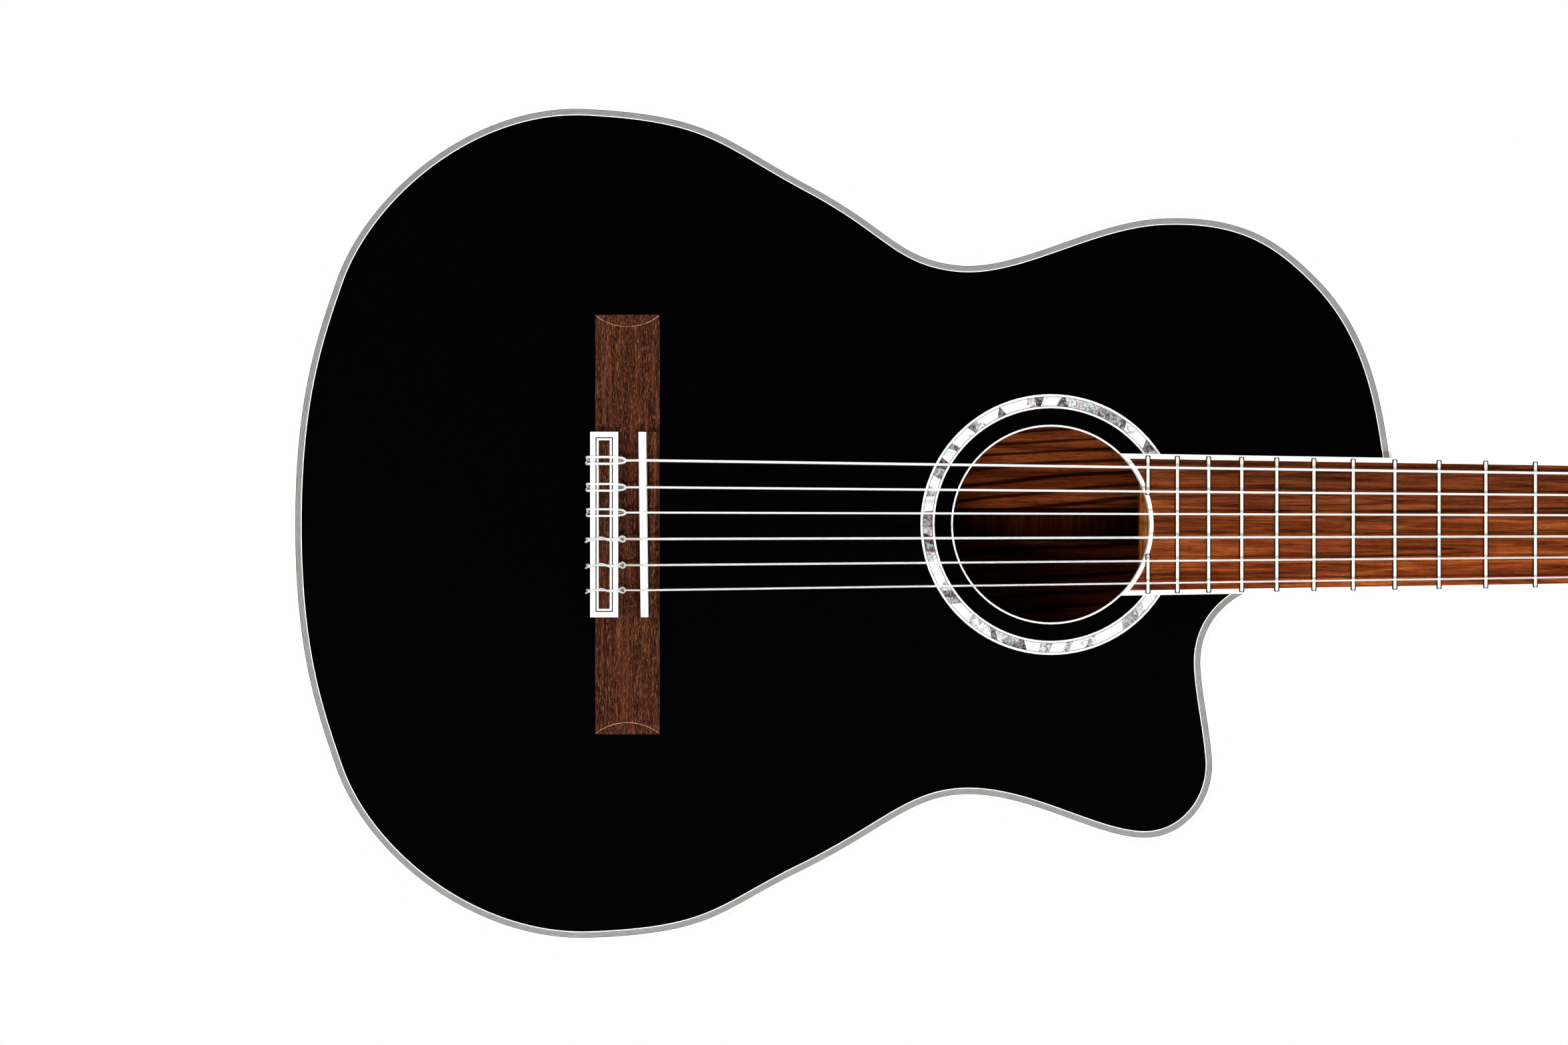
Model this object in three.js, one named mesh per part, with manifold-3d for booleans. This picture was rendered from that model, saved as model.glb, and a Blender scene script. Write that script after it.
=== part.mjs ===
// A nylon-string guitar with a cutaway body, built as the separate pieces that a maker would join.
// Millimetres. +Z runs up the neck to the headstock, -Y is the way the soundboard faces, and +X is the
// treble side. The origin is on the centre line, where the nut meets the fingerboard, level with the
// soundboard's outer face.
import * as THREE from "three";
import { mergeVertices } from "three/addons/utils/BufferGeometryUtils.js";
import Module from "manifold-3d";

const wasm = await Module();
wasm.setup();

// ---- Driving dimensions ----
const GAP = 0.3; // left between pieces that touch
const SCALE_LENGTH = 650; // nut to nominal saddle
const BODY_END_Z = -SCALE_LENGTH / 2; // the neck joins the body at the 12th fret
const BODY_LENGTH = 483.5;
const TAIL_Z = BODY_END_Z - BODY_LENGTH;
const DEPTH_AT_TAIL = 97; // soundboard face to back face
const DEPTH_AT_NECK = 91;
const PLATE_T = 2.6; // soundboard and back
const RIB_T = 2.2;
const BINDING_H = 6;
const LINING_W = 5.5;
const LINING_H = 14;
const CURVE_STEPS = 7; // points along each stretch of the outline
const TAIL_INLAY_W = 8; // a strip between the two sides at the tail
const NECK_BLOCK = { x: [-34, 30], length: 42 };
const TAIL_BLOCK = { width: 84, length: 18 };

const HOLE_Z = -475.3;
const HOLE_R = 43.7;
const ROSETTE_R = [51.1, 56.9];
const ROSETTE_T = 1;

const NUT_W = 48;
const NUT_L = 5;
const BOARD_T = 6.5;
const BOARD_TAPER = 13.9 / 433.1; // width gained per millimetre from the nut
const BOARD_EDGE_W = 2.2;
const BOARD_END_W = 2.4;
const NECK_DEPTH = [16, 19]; // under the fingerboard, at the nut and at the body
const HEEL_W = [48, 26]; // at the fingerboard and at the cap
const HEEL_L = [44, 27];
const HEEL_CAP_T = 2;
const HEEL_DEPTH = DEPTH_AT_NECK - GAP - HEEL_CAP_T; // the cap brings the heel level with the back
const NECK_BAR = { size: 8, z: [BODY_END_Z + 5, -19] };

const BRIDGE_W = 184;
const BRIDGE_Z = -661.5; // centre of the wings
const WING_L = 28.2;
const WING_H = 4.2;
const BLOCK_W = 81.2;
const BLOCK_Z = [-677.2, -646.9];
const TROUGH_Z = [-664.9, -655.9];
const BLOCK_H = 8.6;
const TROUGH_H = 4;
const SADDLE_T = 3.5;
const SADDLE_H = [3.4, 12.2];
const TIE_HOLE_H = 5.8;
const TIE_HOLE_R = 1.5;

const NUT_H = 8.1;
const STRING_RADII = [0.42, 0.47, 0.55, 0.45, 0.5, 0.57]; // string 1 is the treble E
const STRING_SPREAD = [39, 57.3]; // first to sixth string, at the nut and at the saddle
const STRING_SLIP = [0.1, 0.6, 0.6, 0.5, 0.9, 0.6]; // how far each hand-cut slot is off its even spacing

const HEAD_TILT = THREE.MathUtils.degToRad(15);
const HEAD_T = 18;
const HEAD_L = 196;
const HEAD_W = 72;
const VENEER_T = 1.5;
const SLOT_X = [9.2, 25.4];
const SLOT_Z = [18, 138];
const ROLLER_STRING_X = [20.5, 18.5, 17]; // where each string meets its roller
const TUNER_Z = [50, 85, 120]; // roller axes up the headstock

const ROLLER_R = 4.9;
const ROLLER_END_X = [SLOT_X[0] - 5, HEAD_W / 2 - 0.4];
const BORE_CLEARANCE = 0.4;
const ROLLER_Y = HEAD_T / 2;
const GEAR_TEETH = 14;
const GEAR_TIP_R = 6.3;
const GEAR_ROOT_R = 5;
const GEAR_X = [39, 42];
const TUNER_PLATE_T = 1.2;
const WORM_X = 41;
const WORM_DROP = 8.7; // worm axis below the gear's axis
const WORM_CORE_R = 2;
const SHAFT_R = 1.7;
const BUTTON_Y = [24, 42];
const BEYOND = 200; // past the body on every side, for cutting tools

// ---- Geometry helpers ----
const vec2 = (x, y) => new THREE.Vector2(x, y);
const vec3 = (x, y, z) => new THREE.Vector3(x, y, z);
const lerp = THREE.MathUtils.lerp;

// A solid from a closed geometry, with its faces turned outwards.
function toSolid(geometry) {
  const bare = geometry.clone();
  bare.deleteAttribute("normal");
  bare.deleteAttribute("uv");
  const merged = mergeVertices(bare, 1e-4);
  const index = merged.index.array;
  const kept = [];
  for (let i = 0; i < index.length; i += 3) {
    const [a, b, c] = [index[i], index[i + 1], index[i + 2]];
    if (a !== b && b !== c && c !== a) kept.push(a, b, c);
  }
  const build = (triangles) => {
    const vertProperties = new Float32Array(merged.attributes.position.array);
    const triVerts = new Uint32Array(triangles);
    return new wasm.Manifold(new wasm.Mesh({ numProp: 3, vertProperties, triVerts }));
  };
  const made = build(kept);
  return made.volume() > 0 ? made : build(kept.reverse());
}

function toGeometry(solid) {
  const made = solid.getMesh();
  const positions = new THREE.BufferAttribute(new Float32Array(made.vertProperties), 3);
  const geometry = new THREE.BufferGeometry().setAttribute("position", positions);
  geometry.setIndex(new THREE.BufferAttribute(new Uint32Array(made.triVerts), 1));
  geometry.computeVertexNormals();
  return geometry;
}

const union = (first, ...others) => others.reduce((sum, other) => sum.add(other), first);
const cut = (first, ...tools) => tools.reduce((left, tool) => left.subtract(tool), first);

function placed(shape, depth, right, up, offset) {
  const geometry = new THREE.ExtrudeGeometry(shape, { depth, bevelEnabled: false, curveSegments: 8 });
  const basis = new THREE.Matrix4().makeBasis(right, up, right.clone().cross(up));
  return toSolid(geometry.applyMatrix4(basis).translate(offset.x, offset.y, offset.z));
}

// A plate whose outline lies in XZ, from y0 to y1.
const slab = (shape, y0, y1) => placed(shape, y1 - y0, vec3(1, 0, 0), vec3(0, 0, 1), vec3(0, y1, 0));

// A bar along X whose section has Z across and height above the soundboard up.
const bar = (shape, x0, x1) => placed(shape, x1 - x0, vec3(0, 0, 1), vec3(0, -1, 0), vec3(x0, 0, 0));

function box(x, y, z) {
  const geometry = new THREE.BoxGeometry(x[1] - x[0], y[1] - y[0], z[1] - z[0]);
  return toSolid(geometry.translate((x[0] + x[1]) / 2, (y[0] + y[1]) / 2, (z[0] + z[1]) / 2));
}

function rod(radius, from, to, sides = 16) {
  const axis = to.clone().sub(from);
  const geometry = new THREE.CylinderGeometry(radius, radius, axis.length(), sides);
  const turn = new THREE.Quaternion().setFromUnitVectors(vec3(0, 1, 0), axis.clone().normalize());
  const middle = from.clone().add(to).multiplyScalar(0.5);
  return toSolid(geometry.applyQuaternion(turn).translate(middle.x, middle.y, middle.z));
}

// A lathe turned about Y from [radius, y] pairs.
function turned(profile, sides) {
  return new THREE.LatheGeometry(profile.map(([r, y]) => vec2(r, y)), sides);
}

// A skin through rings of points, closed by a fan at each end.
function loft(rings) {
  const count = rings[0].length;
  const centre = (ring) => ring.reduce((sum, p) => sum.add(p), vec3(0, 0, 0)).divideScalar(count);
  const points = [...rings.flat(), centre(rings[0]), centre(rings.at(-1))];
  const faces = [];
  for (let r = 0; r + 1 < rings.length; r++) {
    for (let i = 0; i < count; i++) {
      const a = r * count + i;
      const b = r * count + ((i + 1) % count);
      faces.push(a, b, b + count, a, b + count, a + count);
    }
  }
  const last = (rings.length - 1) * count;
  for (let i = 0; i < count; i++) {
    const next = (i + 1) % count;
    faces.push(next, i, points.length - 2, last + i, last + next, points.length - 1);
  }
  const geometry = new THREE.BufferGeometry().setFromPoints(points);
  return toSolid(geometry.setIndex(faces));
}

// A round wire through points that lie nearly in one plane across X.
function wire(points, radius, sides = 8) {
  const rings = points.map((p, i) => {
    const before = points[Math.max(i - 1, 0)];
    const after = points[Math.min(i + 1, points.length - 1)];
    const along = after.clone().sub(before).normalize();
    const side = vec3(1, 0, 0).cross(along).normalize();
    const across = along.clone().cross(side);
    return Array.from({ length: sides }, (_, k) => {
      const angle = (2 * Math.PI * k) / sides;
      const ring = side.clone().multiplyScalar(radius * Math.cos(angle));
      return ring.addScaledVector(across, radius * Math.sin(angle)).add(p);
    });
  });
  return loft(rings);
}

// ---- Body outline ----
// Each knot is a point of one half, with x away from the centre line and z up from the tail, the direction
// that the edge runs in there, in degrees from straight out, and the reach of its curve handles.
const BASS_KNOTS = [
  { x: 0, z: 0, heading: 0, reach: [0, 55] },
  { x: 107, z: 18, heading: 19, reach: [27, 42] },
  { x: 184, z: 130, heading: 93, reach: [51, 56] },
  { x: 150, z: 228, heading: 118, reach: [42, 40] },
  { x: 115.5, z: 291.5, heading: 97, reach: [25, 27] },
  { x: 136, z: 383, heading: 88, reach: [33, 34] },
  { x: 108, z: 452, heading: 136, reach: [26, 33] },
  { x: 28.5, z: BODY_LENGTH, heading: 172, reach: [26, 0] },
];
const TREBLE_KNOTS = [
  { x: 0, z: 0, heading: 0, reach: [0, 55] },
  { x: 107, z: 18, heading: 19, reach: [27, 42] },
  { x: 183, z: 131, heading: 92, reach: [51, 55] },
  { x: 153.5, z: 224, heading: 116, reach: [39, 41] },
  { x: 120, z: 295, heading: 92, reach: [23, 29] },
  { x: 139, z: 376, heading: 93, reach: [22, 18] },
  { x: 103, z: 405.5, heading: 184, reach: [18, 13] },
  { x: 63.5, z: 400.5, heading: 184, reach: [13, 31] },
  { x: 24, z: 452, heading: 90, reach: [21, 8] },
  { x: 24, z: BODY_LENGTH, heading: 90, reach: [8, 0] },
];

// One half's edge from tail to neck, moved inwards by an offset.
function edge(knots, side, offset) {
  const arm = (knot, reach) => {
    const angle = THREE.MathUtils.degToRad(knot.heading);
    return vec2(knot.x + reach * Math.cos(angle), knot.z + reach * Math.sin(angle));
  };
  const points = [];
  for (let k = 0; k + 1 < knots.length; k++) {
    const [from, to] = [knots[k], knots[k + 1]];
    const curve = new THREE.CubicBezierCurve(
      vec2(from.x, from.z), arm(from, from.reach[1]), arm(to, -to.reach[0]), vec2(to.x, to.z),
    );
    for (let i = k ? 1 : 0; i <= CURVE_STEPS; i++) {
      const at = curve.getPoint(i / CURVE_STEPS);
      const run = curve.getTangent(i / CURVE_STEPS);
      points.push(vec2(side * (at.x - run.y * offset), TAIL_Z + at.y + run.x * offset));
    }
  }
  return points;
}

const bassEdge = (offset) => edge(BASS_KNOTS, -1, offset);
const trebleEdge = (offset) => edge(TREBLE_KNOTS, 1, offset);

// The whole outline at an offset, closed straight across under the neck.
const plateShape = (offset) => new THREE.Shape([...trebleEdge(offset), ...bassEdge(offset).slice(1).reverse()]);

function band(outer, inner) {
  return new THREE.Shape([...outer, ...inner.reverse()]);
}

// A strip between two offsets all round the body, open across the neck.
function ringShape(outside, inside) {
  const whole = (offset) => [...trebleEdge(offset).reverse(), ...bassEdge(offset).slice(1)];
  return band(whole(outside), whole(inside));
}

const depthAt = (z) => lerp(DEPTH_AT_TAIL, DEPTH_AT_NECK, (z - TAIL_Z) / BODY_LENGTH);

// Slides what is past the middle of the body to the back's tilted plane, whose nominal depth is the tail's.
function tilted(solid) {
  return solid.warp((vertex) => {
    if (vertex[1] > DEPTH_AT_NECK / 2) vertex[1] += depthAt(vertex[2]) - DEPTH_AT_TAIL;
  });
}

// ---- Scene graph ----
const guitar = new THREE.Group();
const head = new THREE.Group();
head.position.set(0, 0, NUT_L);
head.rotation.x = -HEAD_TILT;
guitar.add(head);
guitar.updateMatrixWorld(true);
head.updateMatrixWorld(true);

function finish(color, roughness, metalness = 0) {
  return new THREE.MeshStandardMaterial({ color, roughness, metalness });
}
const LOOKS = {
  lacquer: finish(0x070708, 0.12),
  cream: finish(0xf3eee2, 0.35),
  spruce: finish(0xd9b88a, 0.7),
  cedar: finish(0xa8703f, 0.6),
  rosewood: finish(0x5b3322, 0.45),
  bone: finish(0xf6f3ea, 0.4),
  pearl: finish(0xe4e4e6, 0.2),
  nylon: finish(0xf2f2f0, 0.3),
  wound: finish(0xcfd0d4, 0.35, 0.8),
  nickel: finish(0xd4d4d8, 0.25, 1),
  brass: finish(0xc9a45a, 0.3, 1),
};

function addNode(name, geometry, look, parent = guitar) {
  const mesh = new THREE.Mesh(geometry, LOOKS[look].clone());
  mesh.name = name;
  parent.add(mesh);
  return mesh;
}
const addSolid = (name, solid, look, parent) => addNode(name, toGeometry(solid), look, parent);

// ---- Soundbox ----
const INNER = RIB_T + GAP; // plates and linings start inside the ribs
const LINING_IN = INNER + LINING_W;
const LINING_Y = [PLATE_T + GAP, PLATE_T + GAP + LINING_H];
const BACK_Y = [DEPTH_AT_TAIL - PLATE_T, DEPTH_AT_TAIL];
const BACK_LINING_Y = [BACK_Y[0] - GAP - LINING_H, BACK_Y[0] - GAP];

function circle(radius, z) {
  const path = new THREE.Shape();
  path.absarc(0, z, radius, 0, 2 * Math.PI);
  return path;
}

function annulus(outer, inner, z) {
  const shape = new THREE.Shape(circle(outer, z).getPoints(22));
  shape.holes.push(new THREE.Path(circle(inner, z).getPoints(22)));
  return shape;
}

function buildSoundboard() {
  const blank = slab(plateShape(INNER), 0, PLATE_T);
  const hole = slab(new THREE.Shape(circle(HOLE_R, HOLE_Z).getPoints(24)), -1, PLATE_T + 1);
  const groove = annulus(ROSETTE_R[1] + GAP, ROSETTE_R[0] - GAP, HOLE_Z);
  addSolid("soundboard", cut(blank, hole, slab(groove, -1, ROSETTE_T + GAP)), "lacquer");
  addSolid("rosette", slab(annulus(...[...ROSETTE_R].reverse(), HOLE_Z), 0, ROSETTE_T), "pearl");
}

function buildShell() {
  addSolid("back_plate", tilted(slab(plateShape(INNER), ...BACK_Y)), "lacquer");
  addSolid("top_binding", slab(ringShape(0, RIB_T), 0, BINDING_H), "cream");
  const backBindingY = [DEPTH_AT_TAIL - BINDING_H, DEPTH_AT_TAIL];
  addSolid("back_binding", tilted(slab(ringShape(0, RIB_T), ...backBindingY)), "cream");
  const ribY = [BINDING_H + GAP, backBindingY[0] - GAP];
  const half = TAIL_INLAY_W / 2;
  const centre = (inset) => box([inset - half, half - inset], [-1, DEPTH_AT_TAIL], [TAIL_Z - 1, TAIL_Z + 9]);
  for (const [name, route] of [["side_bass", bassEdge], ["side_treble", trebleEdge]]) {
    addSolid(name, cut(tilted(slab(band(route(0), route(RIB_T)), ...ribY)), centre(0)), "lacquer");
  }
  addSolid("tail_inlay", tilted(slab(ringShape(0, RIB_T), ...ribY)).intersect(centre(GAP)), "cream");
  addSolid("top_lining", slab(ringShape(INNER, LINING_IN), ...LINING_Y), "cedar");
  addSolid("back_lining", tilted(slab(ringShape(INNER, LINING_IN), ...BACK_LINING_Y)), "cedar");
}

// The room inside the ribs, and inside the linings, as solids to trim the blocks and braces to.
const insideRibs = tilted(slab(plateShape(INNER + GAP), PLATE_T + GAP, BACK_Y[0] - GAP));
const insideLinings = tilted(slab(plateShape(LINING_IN + GAP), PLATE_T + GAP, BACK_Y[0] - GAP));
const liningRoom = union(
  slab(ringShape(0, LINING_IN + GAP), 0, LINING_Y[1] + GAP),
  tilted(slab(ringShape(0, LINING_IN + GAP), BACK_LINING_Y[0] - GAP, DEPTH_AT_TAIL)),
);

const FAN_COUNT = 5;
const FAN_Z = [-778, -548];
const FAN_SPREAD = [62, 26]; // half the fan's width at its tail end and at its soundhole end
const FAN_SIZE = [6, 4.5];
const PATCH = { width: 190, length: 34, thickness: 1.8 };
const TOP_BARS = { upper_transverse_brace: -432.5, lower_transverse_brace: -536 };
const BACK_BARS = [-712, -575, -423];
const BAR_SIZE = [7, 14];

function buildBlocks() {
  const neckBlock = box(NECK_BLOCK.x, [0, DEPTH_AT_TAIL], [BODY_END_Z - NECK_BLOCK.length, BODY_END_Z - GAP]);
  addSolid("neck_block", cut(neckBlock.intersect(insideRibs), liningRoom), "cedar");
  const half = TAIL_BLOCK.width / 2;
  const tailBlock = box([-half, half], [0, DEPTH_AT_TAIL], [TAIL_Z, TAIL_Z + TAIL_BLOCK.length]);
  addSolid("tail_block", cut(tailBlock.intersect(insideRibs), liningRoom), "cedar");
}

// A bar across the body, trimmed to the linings.
function brace(z, y0, y1) {
  return box([-BEYOND, BEYOND], [y0, y1], [z - BAR_SIZE[0] / 2, z + BAR_SIZE[0] / 2]).intersect(insideLinings);
}

function buildBraces() {
  const under = PLATE_T + GAP;
  for (const [name, z] of Object.entries(TOP_BARS)) {
    addSolid(name, brace(z, under, under + BAR_SIZE[1]), "spruce");
  }
  BACK_BARS.forEach((z, i) => {
    const face = BACK_Y[0] - GAP + depthAt(z) - DEPTH_AT_TAIL;
    addSolid("back_brace_" + (i + 1), brace(z, face - BAR_SIZE[1], face + 2), "spruce");
  });
  const patchZ = [BRIDGE_Z - PATCH.length / 2, BRIDGE_Z + PATCH.length / 2];
  const patchX = [-PATCH.width / 2, PATCH.width / 2];
  addSolid("bridge_patch", box(patchX, [under, under + PATCH.thickness], patchZ), "spruce");
  const patchRoom = box([-BEYOND, BEYOND], [0, under + PATCH.thickness + GAP], [patchZ[0] - GAP, patchZ[1] + GAP]);
  for (let i = 0; i < FAN_COUNT; i++) {
    const place = (2 * i) / (FAN_COUNT - 1) - 1;
    const [tail, top] = FAN_SPREAD.map((half) => place * half);
    const half = FAN_SIZE[0] / 2;
    const outline = new THREE.Shape([
      vec2(tail - half, FAN_Z[0]), vec2(tail + half, FAN_Z[0]),
      vec2(top + half, FAN_Z[1]), vec2(top - half, FAN_Z[1]),
    ]);
    addSolid("fan_brace_" + (i + 1), cut(slab(outline, under, under + FAN_SIZE[1]), patchRoom), "spruce");
  }
}

// ---- Neck ----
const boardHalf = (z) => (NUT_W - z * BOARD_TAPER) / 2;
const neckDepth = (z) => lerp(NECK_DEPTH[0], NECK_DEPTH[1], z / BODY_END_Z);

// The D-shaped section of the neck, from one top corner round the back to the other.
function neckSection(z) {
  const ring = [];
  for (let i = 0; i <= 12; i++) {
    const angle = (Math.PI * i) / 12;
    const across = Math.sign(Math.cos(angle)) * Math.abs(Math.cos(angle)) ** 0.75;
    ring.push(vec3(boardHalf(z) * across, neckDepth(z) * Math.sin(angle) ** 0.85, z));
  }
  return ring;
}

// The heel's section at depth y: square against the body and rounded to its front.
function heelSection(y) {
  const t = y / HEEL_DEPTH;
  const half = lerp(HEEL_W[0], HEEL_W[1], Math.min(1, t * 1.25) ** 0.8) / 2;
  const length = lerp(HEEL_L[0], HEEL_L[1], Math.min(1, t * 1.6) ** 0.5);
  const ring = [];
  for (let i = 0; i <= 12; i++) {
    const angle = (Math.PI * i) / 12;
    const across = Math.sign(Math.cos(angle)) * Math.abs(Math.cos(angle)) ** 0.9;
    ring.push(vec3(half * across, y, BODY_END_Z + GAP + length * Math.sin(angle) ** 0.8));
  }
  return ring;
}

const HEAD_HALF = HEAD_W / 2;
const HEAD_SHOULDER_Z = 20;

// The headstock's outline: it widens from the nut by two shoulders and ends in a shallow curved crest.
function headShape(inset = 0) {
  const half = HEAD_HALF - inset;
  const shape = new THREE.Shape();
  shape.moveTo(-NUT_W / 2 + inset, 0);
  shape.lineTo(NUT_W / 2 - inset, 0);
  shape.bezierCurveTo(NUT_W / 2 - inset, 9, half, 9, half, HEAD_SHOULDER_Z);
  shape.lineTo(half, HEAD_L - 20 - inset);
  shape.bezierCurveTo(half - 4, HEAD_L - 4 - inset, 18, HEAD_L - 10 - inset, 0, HEAD_L - inset);
  shape.bezierCurveTo(-18, HEAD_L - 10 - inset, -half + 4, HEAD_L - 4 - inset, -half, HEAD_L - 20 - inset);
  shape.lineTo(-half, HEAD_SHOULDER_Z);
  shape.bezierCurveTo(-half, 9, -NUT_W / 2 + inset, 9, -NUT_W / 2 + inset, 0);
  return shape;
}

function slotShape(side) {
  const radius = (SLOT_X[1] - SLOT_X[0]) / 2;
  const x = (side * (SLOT_X[0] + SLOT_X[1])) / 2;
  const shape = new THREE.Shape();
  shape.absarc(x, SLOT_Z[1] - radius, radius, 0, Math.PI);
  shape.absarc(x, SLOT_Z[0] + radius, radius, Math.PI, 2 * Math.PI);
  return shape;
}

const sides = [-1, 1];
const slots = (y0, y1) => union(...sides.map((side) => slab(slotShape(side), y0, y1)));

const toGuitar = (solid) => solid.transform(head.matrixWorld.toArray());

function buildNeck() {
  const shaft = loft([neckSection(BODY_END_Z + GAP), neckSection(NUT_L)]);
  const heel = loft([0, 12, 22, 34, 48, 64, 78, HEEL_DEPTH].map(heelSection));
  const bores = sides.flatMap((side) =>
    TUNER_Z.map((z) =>
      rod(
        ROLLER_R + BORE_CLEARANCE,
        vec3(side * (ROLLER_END_X[0] - 1), ROLLER_Y, z), vec3(side * (HEAD_HALF + 1), ROLLER_Y, z), 12,
      ),
    ),
  );
  const plate = cut(slab(headShape(), 0, HEAD_T), slots(-1, HEAD_T + 1), ...bores);
  const blank = union(shaft, heel, toGuitar(plate));
  // The scarf joint runs from the nut down to the back of the neck, at the headstock's own angle.
  const normal = [0, Math.cos(HEAD_TILT), Math.sin(HEAD_TILT)];
  const level = NUT_L * normal[2];
  const upper = box([-BEYOND, BEYOND], [-BEYOND, BEYOND], [BODY_END_Z + 60, 2 * BEYOND]);
  const barHalf = NECK_BAR.size / 2;
  const barRoomHalf = barHalf + GAP;
  const barRoomZ = [NECK_BAR.z[0] - 1, NECK_BAR.z[1] + 1];
  const barRoom = box([-barRoomHalf, barRoomHalf], [-1, NECK_BAR.size + GAP], barRoomZ);
  const headstock = blank.intersect(upper.trimByPlane(normal, level + GAP / 2));
  const neck = cut(blank, upper.trimByPlane(normal, level - GAP / 2), barRoom);
  addSolid("neck", neck, "cedar");
  addSolid("headstock", cut(headstock, barRoom), "cedar");
  addSolid("neck_bar", box([-barHalf, barHalf], [0, NECK_BAR.size], NECK_BAR.z), "nickel");
  addSolid("headstock_veneer", cut(slab(headShape(), -VENEER_T - GAP, -GAP), slots(-5, 5)), "lacquer", head);
  const cap = heelSection(HEEL_DEPTH).map((p) => vec2(p.x, p.z));
  addSolid("heel_cap", slab(new THREE.Shape(cap), HEEL_DEPTH + GAP, DEPTH_AT_NECK), "cream");
}

// The fingerboard's outline, cut away at its lower end by the soundhole's circle.
function boardShape(inset, endInset) {
  const bottom = HOLE_Z + 20;
  const outline = new THREE.Shape([
    vec2(-boardHalf(bottom) + inset, bottom), vec2(boardHalf(bottom) - inset, bottom),
    vec2(boardHalf(0) - inset, -GAP), vec2(-boardHalf(0) + inset, -GAP),
  ]);
  const round = new THREE.Shape(circle(HOLE_R + endInset, HOLE_Z).getPoints(24));
  return (y0, y1) => cut(slab(outline, y0, y1), slab(round, y0 - 1, y1 + 1));
}

function buildFingerboard() {
  const y = [-BOARD_T - GAP, -GAP];
  const wood = boardShape(BOARD_EDGE_W + GAP / 2, BOARD_END_W + GAP / 2)(...y);
  const room = boardShape(BOARD_EDGE_W - GAP / 2, BOARD_END_W - GAP / 2)(y[0] - 1, y[1] + 1);
  addSolid("fingerboard", wood, "rosewood");
  const edges = cut(boardShape(0, 0)(...y), room, box([-50, 50], [-20, 20], [-GAP * 2, 5]));
  addSolid("fingerboard_binding", edges, "cream");
  const profile = new THREE.Shape();
  profile.moveTo(0, GAP);
  profile.lineTo(NUT_L, GAP);
  profile.lineTo(NUT_L, NUT_H - 1.6);
  profile.quadraticCurveTo(NUT_L - 0.6, NUT_H - 0.2, 1, NUT_H);
  profile.lineTo(0, NUT_H);
  addSolid("nut", bar(profile, -NUT_W / 2, NUT_W / 2), "bone");
}

// ---- Bridge ----
const stringX = (n, end) => STRING_SPREAD[end] * (0.5 - (n - 1) / 5) + STRING_SLIP[n - 1];
const stringNumbers = [1, 2, 3, 4, 5, 6];

function buildBridge() {
  const wing = new THREE.Shape();
  const [z0, z1] = [BRIDGE_Z - WING_L / 2, BRIDGE_Z + WING_L / 2];
  wing.moveTo(z0, GAP);
  wing.lineTo(z1, GAP);
  wing.lineTo(z1, WING_H - 1.6);
  wing.quadraticCurveTo(BRIDGE_Z, WING_H + 1.6, z0, WING_H - 1.6);
  const block = new THREE.Shape();
  block.moveTo(BLOCK_Z[0], GAP);
  block.lineTo(BLOCK_Z[1], GAP);
  block.lineTo(BLOCK_Z[1], BLOCK_H - 2.4);
  block.quadraticCurveTo(BLOCK_Z[1], BLOCK_H - 0.6, BLOCK_Z[1] - 2.4, BLOCK_H - 0.6);
  block.lineTo(TROUGH_Z[1], BLOCK_H - 0.6);
  block.lineTo(TROUGH_Z[1], TROUGH_H);
  block.lineTo(TROUGH_Z[0], TROUGH_H);
  block.lineTo(TROUGH_Z[0], BLOCK_H);
  block.lineTo(BLOCK_Z[0], BLOCK_H);
  const half = BLOCK_W / 2;
  const saddleZ = [TROUGH_Z[1], TROUGH_Z[1] + SADDLE_T];
  const slot = box([-half - 1, half + 1], [-20, -SADDLE_H[0] + GAP], [saddleZ[0] - 0.1, saddleZ[1] + GAP]);
  const tieHoles = stringNumbers.map((n) => {
    const at = (z) => vec3(stringX(n, 1), -TIE_HOLE_H, z);
    return rod(TIE_HOLE_R, at(BLOCK_Z[0] - 2), at(TROUGH_Z[0] + 2), 10);
  });
  const ends = sides.map((side) => {
    const bevel = box([-10, 10], [-10, 0], [z0 - 1, z1 + 1]).rotate([0, 0, side * 50]);
    return bevel.translate([side * (BRIDGE_W / 2 + 3.5), -WING_H + 0.5, 0]);
  });
  const wings = cut(bar(wing, -BRIDGE_W / 2, BRIDGE_W / 2), ...ends);
  const body = union(wings, bar(block, -half, half));
  addSolid("bridge", cut(body, slot, ...tieHoles), "rosewood");
  const seat = [TROUGH_Z[1] + 0.1, TROUGH_Z[1] + 0.1 + SADDLE_T - GAP];
  const profile = new THREE.Shape();
  profile.moveTo(seat[0], SADDLE_H[0]);
  profile.lineTo(seat[1], SADDLE_H[0]);
  profile.lineTo(seat[1], SADDLE_H[1] - 1);
  profile.quadraticCurveTo((seat[0] + seat[1]) / 2, SADDLE_H[1] + 1, seat[0], SADDLE_H[1] - 1);
  addSolid("saddle", bar(profile, -half, half), "bone");
  const plate = box([-half, half], [-BLOCK_H - GAP - 0.9, -BLOCK_H - GAP], [BLOCK_Z[0], TROUGH_Z[0]]);
  addSolid("tie_block_plate", plate, "bone");
}

// ---- Strings ----
// Strings 1 to 3 go to the treble slot and 4 to 6 to the bass slot, the outer ones to the nearest rollers.
const rollerOf = (n) => (n <= 3 ? n - 1 : 6 - n);
const rollerStringX = (n) => {
  const side = n <= 3 ? 1 : -1;
  return side * ROLLER_STRING_X[rollerOf(n)];
};

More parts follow.
